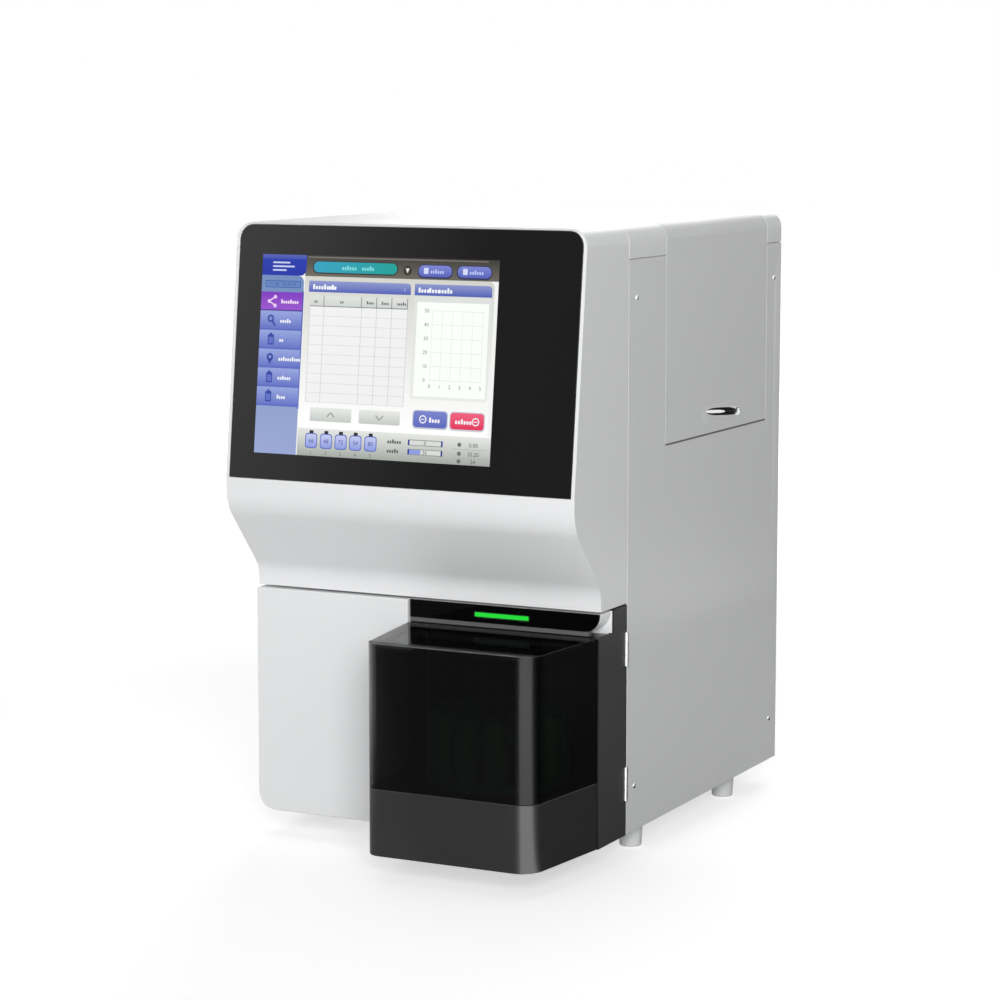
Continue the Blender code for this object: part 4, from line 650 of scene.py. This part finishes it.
def figures(text, x, y, height, colour, layer):
    """Plain figures in Blender's own face, centred on a place in screen shares."""
    curve = bpy.data.curves.new("figures", "FONT")
    curve.body = text
    curve.size = height * TYPE_SIZE_SHARE
    curve.align_x = "CENTER"
    curve.resolution_u = 3
    curve.extrude = LAYER_STEP * 0.45
    holder = placed("figures", curve)
    mesh = holder.to_mesh()
    points = points_of(mesh) * (1, -1, 1)
    points += (x * SCREEN_WIDTH, y * SCREEN_HEIGHT + height / 2, LAYER_STEP * (layer + 0.5))
    faces = [list(face.vertices) for face in mesh.polygons]
    lay_ink(points, faces, np.tile(linear(colour), (len(points), 1)))
    holder.to_mesh_clear()
    bpy.data.objects.remove(holder)
    bpy.data.curves.remove(curve)


# Backdrop of the layout: side column, bars and the white window.
SIDE_SHARE = 0.187
TOP_SHARE = 0.104
STATUS_SHARE = 0.862
BIG_RADIUS = 0.0052

plate((0, 0, 1, 1), "#F2F4F2", 0)
plate((SIDE_SHARE, 0, 1, TOP_SHARE), "#3B3936", 1, "#6A665C")
plate((SIDE_SHARE + 0.01, 0.006, 0.955, 0.012), "#77736C", 2)
plate((0, TOP_SHARE, SIDE_SHARE - 0.004, 1, BIG_RADIUS, (0, 1, 0, 0)), "#6C89BA", 2, "#97A4D2")
plate((0, 0, SIDE_SHARE + 0.004, TOP_SHARE, BIG_RADIUS, (0, 0, 1, 0)), "#0A34A8", 3, "#0326A6")
plate((0, 0, SIDE_SHARE + 0.002, 0.022), "#525FB4", 4, "#2F46AE")
plate((SIDE_SHARE, TOP_SHARE, 0.985, STATUS_SHARE, BIG_RADIUS, (0, 1, 0, 0)), "#D3D4CC", 2, "#FFFFFF")
plate((SIDE_SHARE, STATUS_SHARE, 1, 1), "#E4E6E1", 1, "#A3A8A2")

# Header block: three plain bars, as on a menu key.
for index, length in enumerate((0.075, 0.095, 0.060)):
    height = 0.036 + index * 0.019
    plate((0.045, height, 0.045 + length, height + 0.008, 0.0006), "#C9D4F0", 5)

# Side column: a date field and six keys, of which the first is chosen.
KEY_TOPS = (0.188, 0.285, 0.381, 0.476, 0.571, 0.667)
KEY_SHARE = 0.094
KEY_LETTERS = (8, 5, 2, 10, 6, 4)
CHOSEN_KEY = ("#7B2CBC", "#9650CC", "#5A249C", "#E7C8F6", "#F2DDF8")
PLAIN_KEY = ("#93A2DC", "#5868C0", "#5363BC", "#2B419F", "#EFF2FB")

plate((0.016, 0.130, 0.170, 0.166, 0.0012), "#2E5AA6", 4)
plate((0.019, 0.134, 0.167, 0.162, 0.0010), "#5F80BC", 5)
figures("11 30   12 45 07", 0.093, 0.147, 0.0026, "#2F4F9A", 6)
plate((0.177, 0.182, SIDE_SHARE - 0.002, 0.77), "#3A47A8", 3, "#6F7CC6")
for index, (top, letters) in enumerate(zip(KEY_TOPS, KEY_LETTERS)):
    high, low, foot, sign, name_ink = PLAIN_KEY if index else CHOSEN_KEY
    plate((0.0, top, 0.180, top + KEY_SHARE), high, 4, low)
    plate((0.0, top + KEY_SHARE - 0.006, 0.180, top + KEY_SHARE), foot, 5)
    middle = top + KEY_SHARE / 2
    if index == 0:
        disc(0.036, middle, 0.0015, sign, 7)
        for y in (middle - 0.022, middle + 0.022):
            bar(0.036, middle, 0.062, y, 0.0011, sign, 6)
            disc(0.062, y, 0.0015, sign, 7)
    elif index == 1:
        disc(0.046, middle - 0.010, 0.0030, sign, 6)
        disc(0.046, middle - 0.010, 0.0016, "#7787CE", 7)
        bar(0.052, middle - 0.002, 0.066, middle + 0.026, 0.0016, sign, 6)
    elif index == 3:
        disc(0.050, middle - 0.008, 0.0030, sign, 6)
        sheet([(0.038, middle), (0.062, middle), (0.050, middle + 0.030)], sign, 6)
        disc(0.050, middle - 0.008, 0.0012, "#8A98D6", 7)
    else:
        plate((0.037, middle - 0.026, 0.064, middle + 0.026, 0.0009), sign, 6)
        plate((0.041, middle - 0.013, 0.060, middle + 0.019), "#5C6DC2", 7)
        plate((0.045, middle - 0.034, 0.056, middle - 0.022, 0.0005), sign, 7)
    word(0.088, middle, letters, 0.0033, name_ink, 6)

# Top bar: the state of the run, a play mark and two fields.
plate((0.219, 0.026, 0.582, 0.090, 0.0050), "#2A2B29", 3)
plate((0.223, 0.030, 0.578, 0.084, 0.0042), "#2A9FC1", 4, "#119F95", across=True)
word(0.345, 0.058, 6, 0.0036, "#7FD8DC", 5)
word(0.430, 0.058, 5, 0.0036, "#7FD8DC", 5)
disc(0.622, 0.062, 0.0038, "#37352F", 3)
sheet([(0.614, 0.052), (0.630, 0.052), (0.622, 0.076)], "#E6E8E0", 4)
for left, right in ((0.668, 0.806), (0.830, 0.968)):
    plate((left - 0.004, 0.030, right + 0.004, 0.098, 0.0050), "#34345C", 3)
    plate((left, 0.034, right, 0.090, 0.0043), "#7C86D2", 4, "#5561B8")
    word(left + 0.050, 0.063, 6, 0.0033, "#B9C2F2", 5)
    plate((left + 0.022, 0.046, left + 0.041, 0.076, 0.0006), "#D4DAFA", 5)

# Worklist: a titled table with ten rows and six columns.
TABLE_LEFT = 0.206
TABLE_RIGHT = 0.640
TABLE_TOP = 0.200
TABLE_HEAD = 0.054
ROW_SHARE = 0.0478
ROWS = 10
COLUMN_EDGES = (0.214, 0.275, 0.436, 0.500, 0.564, 0.630)
COLUMN_LETTERS = (2, 2, 4, 4, 5)


def title_bar(left, right, words):
    """A panel's head between two places in screen shares, with words given as (place, letters)."""
    plate((left, 0.126, right, 0.182, 0.0030, (0, 1, 0, 0)), "#8D97CC", 4, "#4C5DB4")
    for x, letters in words:
        word(x, 0.156, letters, 0.0040, "#F4F6FC", 5)


title_bar(TABLE_LEFT, TABLE_RIGHT, ((0.224, 8), (0.292, 3)))
plate((0.612, 0.146, 0.616, 0.166), "#9DAAE4", 5)
rows_top = TABLE_TOP + TABLE_HEAD
table_bottom = rows_top + ROW_SHARE * ROWS
plate((COLUMN_EDGES[0], TABLE_TOP, COLUMN_EDGES[-1], table_bottom), "#F0F0F0", 4)
for left, right, letters in zip(COLUMN_EDGES, COLUMN_EDGES[1:], COLUMN_LETTERS):
    plate((left, TABLE_TOP, right, rows_top), "#747A76", 5)
    plate((left, TABLE_TOP, right - 0.003, rows_top - 0.004), "#DFE1DF", 6, "#D0D4D0")
    word((left + right) / 2 - 0.012, TABLE_TOP + TABLE_HEAD / 2, letters, 0.0027, "#6C7370", 7)
for row in range(1, ROWS + 1):
    line = rows_top + ROW_SHARE * row
    plate((COLUMN_EDGES[0], line - 0.002, COLUMN_EDGES[-1], line), "#CDCFCF", 5)
for edge in COLUMN_EDGES:
    plate((edge - 0.0012, rows_top, edge + 0.0012, table_bottom), "#CBCDD0", 5)
for left, right, lift in ((0.236, 0.414, -1), (0.446, 0.620, 1)):
    middle = (left + right) / 2
    plate((left, 0.757, right, 0.826, 0.0012), "#E6E8E6", 4, "#C3C9C4")
    for reach in (-0.016, 0.016):
        bar(middle + reach, 0.792 - 0.010 * lift, middle, 0.792 + 0.012 * lift, 0.0009, "#8C948E", 5)

# Chart panel: an empty plot with its scales, and the two keys under it.
PLOT_LEFT = 0.735
PLOT_RIGHT = 0.945
PLOT_TOP = 0.255
PLOT_LOW = 0.595
PLOT_STEPS = 5

title_bar(0.656, 0.976, ((0.672, 4), (0.716, 4), (0.756, 5)))
plate((0.656, 0.186, 0.976, 0.690, 0.0016), "#DDE1DE", 4, "#E9ECE9")
plate((0.670, 0.214, 0.966, 0.676, 0.0008), "#FBFDFB", 5)
plot_x = np.linspace(PLOT_LEFT, PLOT_RIGHT, PLOT_STEPS + 1)
plot_y = np.linspace(PLOT_LOW, PLOT_TOP, PLOT_STEPS + 1)
for step, (x, y) in enumerate(zip(plot_x, plot_y)):
    plate((x - 0.0010, PLOT_TOP, x + 0.0010, PLOT_LOW), "#E3E9E4", 6)
    plate((PLOT_LEFT, y - 0.0014, PLOT_RIGHT, y + 0.0014), "#E3E9E4", 6)
    figures(str(step), x, PLOT_LOW + 0.030, 0.0030, "#7B817C", 6)
    figures(str(step * 10), PLOT_LEFT - 0.024, y, 0.0030, "#7B817C", 6)
for left, right, colour, low in ((0.676, 0.816, "#7A84CC", "#5B68BC"), (0.830, 0.968, "#F0627F", "#E2345C")):
    plate((left - 0.004, 0.742, right + 0.004, 0.836, 0.0032), "#C9CCD8", 4)
    plate((left, 0.747, right, 0.828, 0.0028), colour, 5, low)
for x, ring, letters, start in ((0.716, "#6875C2", 4, 0.742), (0.934, "#EA4A6C", 6, 0.850)):
    disc(x, 0.788, 0.0032, "#F4F4FA", 6)
    disc(x, 0.788, 0.0023, ring, 7)
    bar(x - 0.007, 0.788, x + 0.007, 0.788, 0.0007, "#F4F4FA", 8)
    word(start, 0.790, letters, 0.0040, "#F6F2F8", 6)

# Status bar: five bottles with their fill, two gauges and three readings.
BOTTLE_MIDDLES = (0.247, 0.311, 0.374, 0.437, 0.501)
BOTTLE_FILLS = (66, 48, 72, 54, 80)
GAUGE_MIDDLES = (0.905, 0.951)

for number, (x, fill) in enumerate(zip(BOTTLE_MIDDLES, BOTTLE_FILLS), 1):
    plate((x - 0.0085, 0.872, x + 0.0085, 0.888, 0.0004), "#25283A", 4)
    plate((x - 0.026, 0.886, x + 0.026, 0.962, 0.0026), "#5467BE", 3)
    plate((x - 0.0225, 0.891, x + 0.0225, 0.957, 0.0021), "#C4CBF0", 4, "#8D9BDE")
    figures(str(fill), x, 0.924, 0.0034, "#3E4D9C", 5)
    figures(str(number), x, 0.983, 0.0028, "#5C625E", 3)
for middle, letters, percent in zip(GAUGE_MIDDLES, (6, 5), (0, 36)):
    word(0.572, middle, letters, 0.0034, "#5B625D", 3)
    plate((0.662, middle - 0.015, 0.800, middle + 0.015), "#8F958F", 3)
    plate((0.665, middle - 0.011, 0.797, middle + 0.011), "#D9DCDA", 4)
    if percent:
        plate((0.665, middle - 0.011, 0.665 + 0.00132 * percent, middle + 0.011), "#8D9BE0", 5)
    figures(str(percent), 0.730, middle, 0.0030, "#55605A", 6)
    for x in (0.662, 0.800):
        plate((x - 0.0035, middle - 0.014, x + 0.0035, middle + 0.014), "#2E3A8E", 5)
for middle, value in ((0.902, "0.00"), (0.946, "35.20"), (0.983, "24")):
    disc(0.872, middle, 0.0017, "#6B726D", 3)
    figures(value, 0.930, middle, 0.0032, "#4C534E", 3)
for line in (0.923, 0.966):
    plate((0.845, line, 0.985, line + 0.0022), "#A2A8A2", 3)

screen_mesh = bpy.data.meshes.new("screen_picture")
screen_mesh.from_pydata(np.vstack(ink_points).tolist(), [], ink_faces)
ink = screen_mesh.color_attributes.new("ink", "FLOAT_COLOR", "POINT")
ink.data.foreach_set("color", np.vstack(ink_colours).astype(np.float32).ravel())

# Lit liquid crystal under glass: the colours come from the backlight, and the cover glass adds its gloss.
# Its rows of dots, 0.2 mm apart, are too fine to show and are left even.
WIPED_ROUGHNESS = (0.03, 0.08)

lit_screen = blank_material("backlit_display_under_glass")
lit_ink = add_node(lit_screen, "Attribute", {"attribute_name": "ink"})
lit_place = add_node(lit_screen, "TexCoord").outputs["Object"]
lit_cloud = add_node(lit_screen, "TexNoise", {"Scale": 22.0, "Detail": 3.0}, Vector=lit_place)
lit_wiped = ranged(lit_screen, lit_cloud.outputs["Fac"], *WIPED_ROUGHNESS)
lit_look = {"Base Color": linear("#050505"), "Specular IOR Level": 0.35, "Emission Strength": 1.0}
lit_surface = add_node(
    lit_screen, "BsdfPrincipled", lit_look, Roughness=lit_wiped, Emission_Color=lit_ink.outputs["Color"]
)
add_node(lit_screen, "OutputMaterial", Surface=lit_surface.outputs[0])
screen_mesh.materials.append(lit_screen)
screen_picture = placed("screen_picture", screen_mesh)
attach(screen_picture, body_of["touch_glass"])


# Sampler fascia: the white moulded hood over the sampler, with the black light cover set in its front.
# The light bar is a clouded green lens over a row of diodes, flush in the polished black cover.
polished_black = finish(
    "polished_black_acrylic", "#040405", 0.05, drift=0.02, tone=0.0, Specular_IOR_Level=0.14
)
edged("sampler_fascia", white_abs, 0.5, 3)
edged("light_cover", polished_black, 0.2)

BAR_GREEN = "#22DC38"
LIT_HALF_LENGTH = 0.0240
LIT_HALF_WIDTH = 0.0020
LIT_SOFT_EDGE = 0.0006
LENS_SIDE_SHARE = 0.003

lens = blank_material("lit_clouded_green_lens")
bar_low, bar_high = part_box("light_bar")
to_middle = {"Location": -(bar_high + bar_low) / 2}
lens_place = add_node(lens, "TexCoord")
lens_shift = add_node(lens, "Mapping", to_middle, Vector=lens_place.outputs["Object"])
lens_axes = add_node(lens, "SeparateXYZ", Vector=lens_shift.outputs[0])
lens_masks = []
for axis, half_size in (("X", LIT_HALF_LENGTH), ("Z", LIT_HALF_WIDTH)):
    reach = computed(lens, "ABSOLUTE", lens_axes.outputs[axis])
    lens_masks.append(ranged(lens, reach, 1.0, 0.0, half_size - LIT_SOFT_EDGE, half_size))
lens_path = add_node(lens, "LightPath")
lens_throw = ranged(lens, lens_path.outputs["Is Glossy Ray"], 1.0, LENS_SIDE_SHARE)
lens_window = computed(lens, "MULTIPLY", *lens_masks)
lens_glow = computed(lens, "MULTIPLY", lens_window, lens_throw)
lens_look = {"Base Color": linear("#04120A"), "Roughness": 0.35, "Specular IOR Level": 0.2}
lens_look["Emission Color"] = linear(BAR_GREEN)
lens_surface = add_node(lens, "BsdfPrincipled", lens_look, Emission_Strength=lens_glow)
add_node(lens, "OutputMaterial", Surface=lens_surface.outputs[0])
edged("light_bar", lens, 0.3, 3)


# Pod shade strip: a dark grey strip in the underside of the light pod, under which the sampler's lid closes.
# Its grey is painted shade, standing in for the shadow under the pod above the lid.
# It is extruded with a rounded foot and cut to the sampler's width.
SHADE_STRIP_LEAN = 0.0006
SHADE_STRIP_FOOT = 0.0005
SHADE_STRIP_DEPTH = 0.0050
SHADE_STRIP_TOP_GAP = 0.0001
SHADE_STRIP_LOW_GAP = 0.0003
SHADE_STRIP_END_GAP = 0.0095
SHADE_STRIP_FOOT_POINTS = 9

# Painted shade: this dark grey stands in for the shadow under the light pod and in the seam under the flap.
painted_shade_grey = finish("grey_painted_shade_strips", "#5F6062", 0.55, drift_mm=40.0, tone=0.06, grain_um=5.0)


def carried(name, profile, path, outward, material):
    """A closed profile carried along a path: each place of the path, plus the profile's first measure
    along the outward direction there, plus its second measure straight up.

    outward is an array of directions, one for each place or one for all.
    """
    up = np.array([0.0, 0.0, 1.0])
    rings = path[:, None, :] + profile[None, :, :1] * outward[:, None, :] + profile[None, :, 1:] * up
    return ringed(name, rings, material)


face_low, face_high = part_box("light_cover")
lid_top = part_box("smoked_cover")[1].z
strip_high = face_low.z - SHADE_STRIP_TOP_GAP
strip_drop = lid_top + SHADE_STRIP_LOW_GAP - strip_high
foot_turn = np.linspace(0, np.pi / 2, SHADE_STRIP_FOOT_POINTS)
foot_out = SHADE_STRIP_LEAN - SHADE_STRIP_FOOT + SHADE_STRIP_FOOT * np.cos(foot_turn)
foot_arc = np.column_stack([foot_out, strip_drop + SHADE_STRIP_FOOT * (1 - np.sin(foot_turn))])
strip_profile = np.vstack([[[0.0, 0.0]], foot_arc, [[-SHADE_STRIP_DEPTH, strip_drop], [-SHADE_STRIP_DEPTH, 0.0]]])
strip_path = np.array([[x, face_high.y, strip_high] for x in (face_low.x, face_high.x - SHADE_STRIP_END_GAP)])
pod_shade_strip = carried("pod_shade_strip", strip_profile, strip_path, np.array([[0.0, -1.0, 0.0]]), painted_shade_grey)
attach(pod_shade_strip, body_of["sampler_fascia"])


# Sampler bay, carousel and arm: grey and black mouldings round a green tube carousel on its motor.
# The arm of cast aluminium and ABS swings its steel needle from the tubes to the wash cup.
bay_grey = finish("moulded_dark_grey_abs", "#303233", 0.55, drift_mm=40.0, grain_um=3.0)
arm_grey = finish("moulded_light_grey_abs", "#8B8E91", 0.45, drift_mm=30.0, grain_um=10.0)
green_pp = finish(
    "moulded_green_polypropylene", "#1FA347", 0.42, drift_mm=14.0, tone=0.10, grain_mm=0.7, grain_um=8.0,
    Subsurface_Weight=0.15, Subsurface_Scale=0.002,
)
edged("sampler_bay", bay_grey, 0.5)
edged("carousel_motor", black_nylon, 0.4)
edged("carousel_plate", black_nylon, 0.5)
edged("tube_holders", green_pp, 0.4)
edged("arm_column", blasted_aluminium, 0.4)
edged("arm_shaft", turned_steel, 0.3)
edged("sampler_arm", arm_grey, 0.8, 3)
edged("sample_needle", turned_steel, 0)
edged("wash_station", arm_grey, 0.4)


# Sampler door: a black ABS frame and base tray that carry a smoked acrylic cover, on two steel hinges.
# The cover is a polished cast shell: dark as ink face on, mirror bright at a glance along its lid.
SMOKE_ALPHA = 0.73
FRONT_FACING = 0.7

satin_black = finish(
    "satin_black_abs", "#2A2B2C", 0.22, drift_mm=50.0, grain_um=3.0, Specular_IOR_Level=0.45
)
matt_black = finish("spark_eroded_black_abs", "#323333", 0.55, drift_mm=50.0, grain_um=12.0)
smoked_acrylic = finish(
    "polished_smoked_acrylic", "#030304", 0.04, drift=0.02, tone=0.0,
    Alpha=SMOKE_ALPHA, Specular_IOR_Level=0.25,
)
# Painted shade: the frame's front faces take this darker black, for the shadow beside the smoked cover.
painted_shade_black = finish(
    "frame_front_painted_shade", "#141516", 0.7, drift_mm=30.0, tone=0.05, Specular_IOR_Level=0.2
)
door_ring = edged("door_frame", matt_black, 0).data
door_ring.materials.append(painted_shade_black)
# Faces that look forward get the painted shade black; the rest keep the frame's own black.
ring_facing = np.empty(len(door_ring.polygons) * 3)
door_ring.polygons.foreach_get("normal", ring_facing)
door_ring.polygons.foreach_set("material_index", (ring_facing[1::3] < -FRONT_FACING).astype(np.int32))
edged("door_base", satin_black, 0.7, 3)
edged("smoked_cover", smoked_acrylic, 1.0, 4)

# A pale grey strip runs round the front of the lid's top edge: painted highlight for the line of light along
# it.
RIM_RADIUS = 0.0005
RIM_BACK_BAND = 0.0040
RIM_POINTS = 7

# Painted highlight: this pale grey stands in for the light caught along the lid's edge.
painted_highlight_grey = finish("lid_edge_painted_highlight", "#A4A6A8", 0.25, drift_mm=30.0, drift=0.05, tone=0.10)
cover_points = np.unique(points_of(frame["nodes"]["smoked_cover"].data).round(6), axis=0)
lid_points = cover_points[cover_points[:, 2] > lid_top - MERGE]
door_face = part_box("door_base")[1].y
rim_front = lid_points[lid_points[:, 1] < door_face - RIM_BACK_BAND]
rim_back = lid_points[abs(lid_points[:, 1] - door_face) < RIM_BACK_BAND]
rim_middle = lid_points.mean(0)
left_end = max(tuple(point) for point in rim_back if point[0] < rim_middle[0])
right_end = min(tuple(point) for point in rim_back if point[0] > rim_middle[0])
rim_turn_at = np.arctan2(rim_front[:, 1] - door_face, rim_front[:, 0] - rim_middle[0])
rim_path = np.vstack([[left_end], rim_front[np.argsort(rim_turn_at)], [right_end]])
rim_along = np.gradient(rim_path[:, :2], axis=0)
rim_along /= np.linalg.norm(rim_along, axis=1)[:, None]
rim_outward = np.column_stack([rim_along[:, 1], -rim_along[:, 0], np.zeros(len(rim_path))])
rim_turn = np.linspace(0, np.pi / 2, RIM_POINTS)
rim_arc = RIM_RADIUS * np.column_stack([np.cos(rim_turn) - 1, np.sin(rim_turn) - 1])
rim_profile = np.vstack([rim_arc, [[-RIM_RADIUS, -RIM_RADIUS]]])
cover_rim = carried("cover_rim", rim_profile, rim_path, rim_outward, painted_highlight_grey)
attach(cover_rim, body_of["smoked_cover"])

hinge_steel = finish(
    "brushed_stainless_steel", "#D8DADB", 0.32, 1.0, drift_mm=4.0, drift=0.10, tone=0.08,
    stretch=(1.0, 1.0, 0.1),
)
for node in ("door_hinge_upper", "door_hinge_lower", "cabinet_hinge_upper", "cabinet_hinge_lower"):
    edged(node, hinge_steel, 0.25)


# Side flap: the service flap over the reagent side, a folded steel sheet that wraps up onto the top.
# It lifts on a steel rod along the roof, by a chromed pull near its lower edge.
edged("side_flap", powder_grey, 1.3, 4)
edged("flap_hinge_rod", turned_steel, 0)

# A grey strip lies on the edge of the opening under the flap, which shuts against it.
# Its grey is painted shade for the shadowed seam below the flap.
TRIM_PROUD = 0.00015
TRIM_DEPTH = 0.0017
TRIM_HEIGHT = 0.0013
TRIM_GAP = 0.0001
TRIM_END_GAP = 0.0010

flap_low, flap_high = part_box("side_flap")
trim_top = flap_low.z - TRIM_GAP
trim_profile = np.array(
    [[TRIM_PROUD, 0.0], [TRIM_PROUD, -TRIM_HEIGHT], [-TRIM_DEPTH, -TRIM_HEIGHT], [-TRIM_DEPTH, 0.0]]
)
trim_ends = (flap_low.y + TRIM_END_GAP, flap_high.y - TRIM_END_GAP)
trim_path = np.array([[flap_high.x, y, trim_top] for y in trim_ends])
flap_seam_shade_strip = carried("flap_seam_shade_strip", trim_profile, trim_path, np.array([[1.0, 0.0, 0.0]]), painted_shade_grey)
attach(flap_seam_shade_strip, body_of["right_side_panel"])


# Flap pull: a pad moulded to the panel's colour, with a black finger pocket in a chromed bead.
# A chromed lip fills the front of the pocket, tilted up so that it always catches the light.
POCKET_HALF_SIZE = np.array([0.0350, 0.0032])
POCKET_CENTRE = (0.0034, 0.0003)
POCKET_TILT = math.radians(-4.6)
POCKET_DEPTH = 0.0085
POCKET_BOTTOM_SHARE = 0.08
POCKET_RINGS = 14
END_SQUARENESS = 2.4
BEAD_WIDTH = 0.0003
BEAD_REAR_WIDTH = 0.0030
BEAD_RISE = 0.0011
BEAD_TURNS = (0.0, 0.55, 0.70, 0.85, 1.0)
BEAD_SHARES = (-0.9, 0.8, 1.0, 0.8, 0.0)
BEAD_RINGS = 11
COLLAR_DEPTH = 0.0018
PAD_RISE = 0.0001
PAD_EDGE = 0.0003
PAD_LAND = 0.0010
SHELL_WALL = 0.0008
LIP_HALF_SHARES = (0.62, 0.44)
LIP_CENTRE_SHARE = -0.46
LIP_SLOPE = math.tan(math.radians(26))
LIP_CROWN = 0.0002
LIP_DEPTH = 0.0022
LIP_FIRST_SHARE = 0.1
LIP_RINGS = 8
LOOP_STEPS = 128

bright_chrome = finish("bright_chrome_plate", "#E4E5E7", 0.07, 1.0, drift=0.02, tone=0.0)
pull_low, pull_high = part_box("flap_pull")
pull_middle = (pull_low + pull_high) / 2
pull_face = np.array([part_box("right_side_panel")[1].x, pull_middle.y, pull_middle.z])
pad_radius = (pull_high.z - pull_low.z) / 2
pad_half = (pull_high.y - pull_low.y) / 2 - pad_radius
loop_turn = np.linspace(0, 2 * np.pi, LOOP_STEPS, endpoint=False) + np.pi / LOOP_STEPS
loop = np.column_stack([np.cos(loop_turn), np.sin(loop_turn)])
tilt_cosine, tilt_sine = math.cos(POCKET_TILT), math.sin(POCKET_TILT)
tilt_rows = np.array([[tilt_cosine, tilt_sine], [-tilt_sine, tilt_cosine]])


def raised(values, power):
    """Each value's size to a power, with its sign kept."""
    return np.sign(values) * abs(values) ** power


def oval(scale=1.0, grow=0.0, centre=0.0, half=POCKET_HALF_SIZE, power=END_SQUARENESS):
    """The pocket's outline: |y / half length| ** power + |z / half height| ** power is 1 all round.

    It is scaled about its centre, pushed out along its normal by grow (one distance, or a column with
    one for each point), moved along by centre, and then tilted.
    """
    unit = raised(loop, 2 / power)
    normal = raised(unit, power - 1) / half
    normal /= np.linalg.norm(normal, axis=1)[:, None]
    return (scale * half * unit + grow * normal + (centre, 0.0)) @ tilt_rows + POCKET_CENTRE


def stadium(inset):
    """The pad's outline: two half circles on a straight spine, drawn in by inset."""
    return (pad_radius - inset) * loop + np.where(loop[:, :1] > 0, 1, -1) * (pad_half, 0.0)


def closed_rings(name, rings):
    """A closed body on the flap's face. A ring is (outline, depth, number of the next band's material).

    Its depth is counted out of the face, and is one number or one for each point.
    """
    layers = [np.column_stack([np.broadcast_to(out, LOOP_STEPS), flat]) + pull_face for flat, out, _ in rings]
    marks = [mark for _, _, mark in rings]
    piece = ringed(name, np.stack(layers), powder_grey, bright_chrome, black_nylon)
    face_marks = np.repeat([*marks[:-1], marks[0], marks[-1]], LOOP_STEPS)
    piece.data.polygons.foreach_set("material_index", face_marks.astype(np.int32))
    stand_for(piece, "flap_pull")


GREY, CHROME, BLACK = 0, 1, 2
sink = np.linspace(POCKET_BOTTOM_SHARE, 1.0, POCKET_RINGS)
bowl = np.sqrt(1 - sink ** 2)
curl = np.linspace(0, 1, BEAD_RINGS)
crest = np.interp(curl, BEAD_TURNS, BEAD_SHARES)
bead = BEAD_WIDTH + (BEAD_REAR_WIDTH - BEAD_WIDTH) * np.clip(loop[:, :1], 0, 1) ** 2
bead_rise = BEAD_RISE * bead[:, 0] / BEAD_REAR_WIDTH
rings = [
    (oval(share), -COLLAR_DEPTH - (POCKET_DEPTH - COLLAR_DEPTH) * deep, BLACK)
    for share, deep in zip(sink, bowl)
]
rings += [(oval(), -COLLAR_DEPTH, CHROME)]
rings += [(oval(1.0, bead * turn), PAD_RISE + bead_rise * rise, CHROME) for turn, rise in zip(curl, crest)]
rings[-1] = (*rings[-1][:2], GREY)
rings += [
    (stadium(PAD_EDGE), PAD_RISE, GREY),
    (stadium(0.0), 0.0, GREY),
    (stadium(PAD_LAND), 0.0, GREY),
    (stadium(PAD_LAND), -SHELL_WALL, BLACK),
    (oval(1.0, SHELL_WALL), -SHELL_WALL * 2, BLACK),
]
rings += [
    (oval(share, SHELL_WALL), -SHELL_WALL * 2 - POCKET_DEPTH * deep, BLACK)
    for share, deep in zip(sink[-2::-1], bowl[-2::-1])
]
closed_rings("flap_pull_pocket", rings)

lip_centre = POCKET_HALF_SIZE[0] * LIP_CENTRE_SHARE
lip_half = POCKET_HALF_SIZE * LIP_HALF_SHARES


def lip_ring(share, drop=0.0):
    """A ring of the lip: its face leans back by LIP_SLOPE for each metre of rise, with a low crown."""
    flat = oval(share, 0.0, lip_centre, lip_half, 2.0)
    rise = share * lip_half[1] * loop[:, 1]
    return flat, LIP_CROWN * (1 - share ** 2) - LIP_SLOPE * rise - drop, CHROME


lip_rings = [lip_ring(share) for share in np.linspace(LIP_FIRST_SHARE, 1.0, LIP_RINGS)]
lip_rings += [lip_ring(1.0, LIP_DEPTH), lip_ring(LIP_FIRST_SHARE, LIP_DEPTH)]
closed_rings("flap_pull_lip", lip_rings)
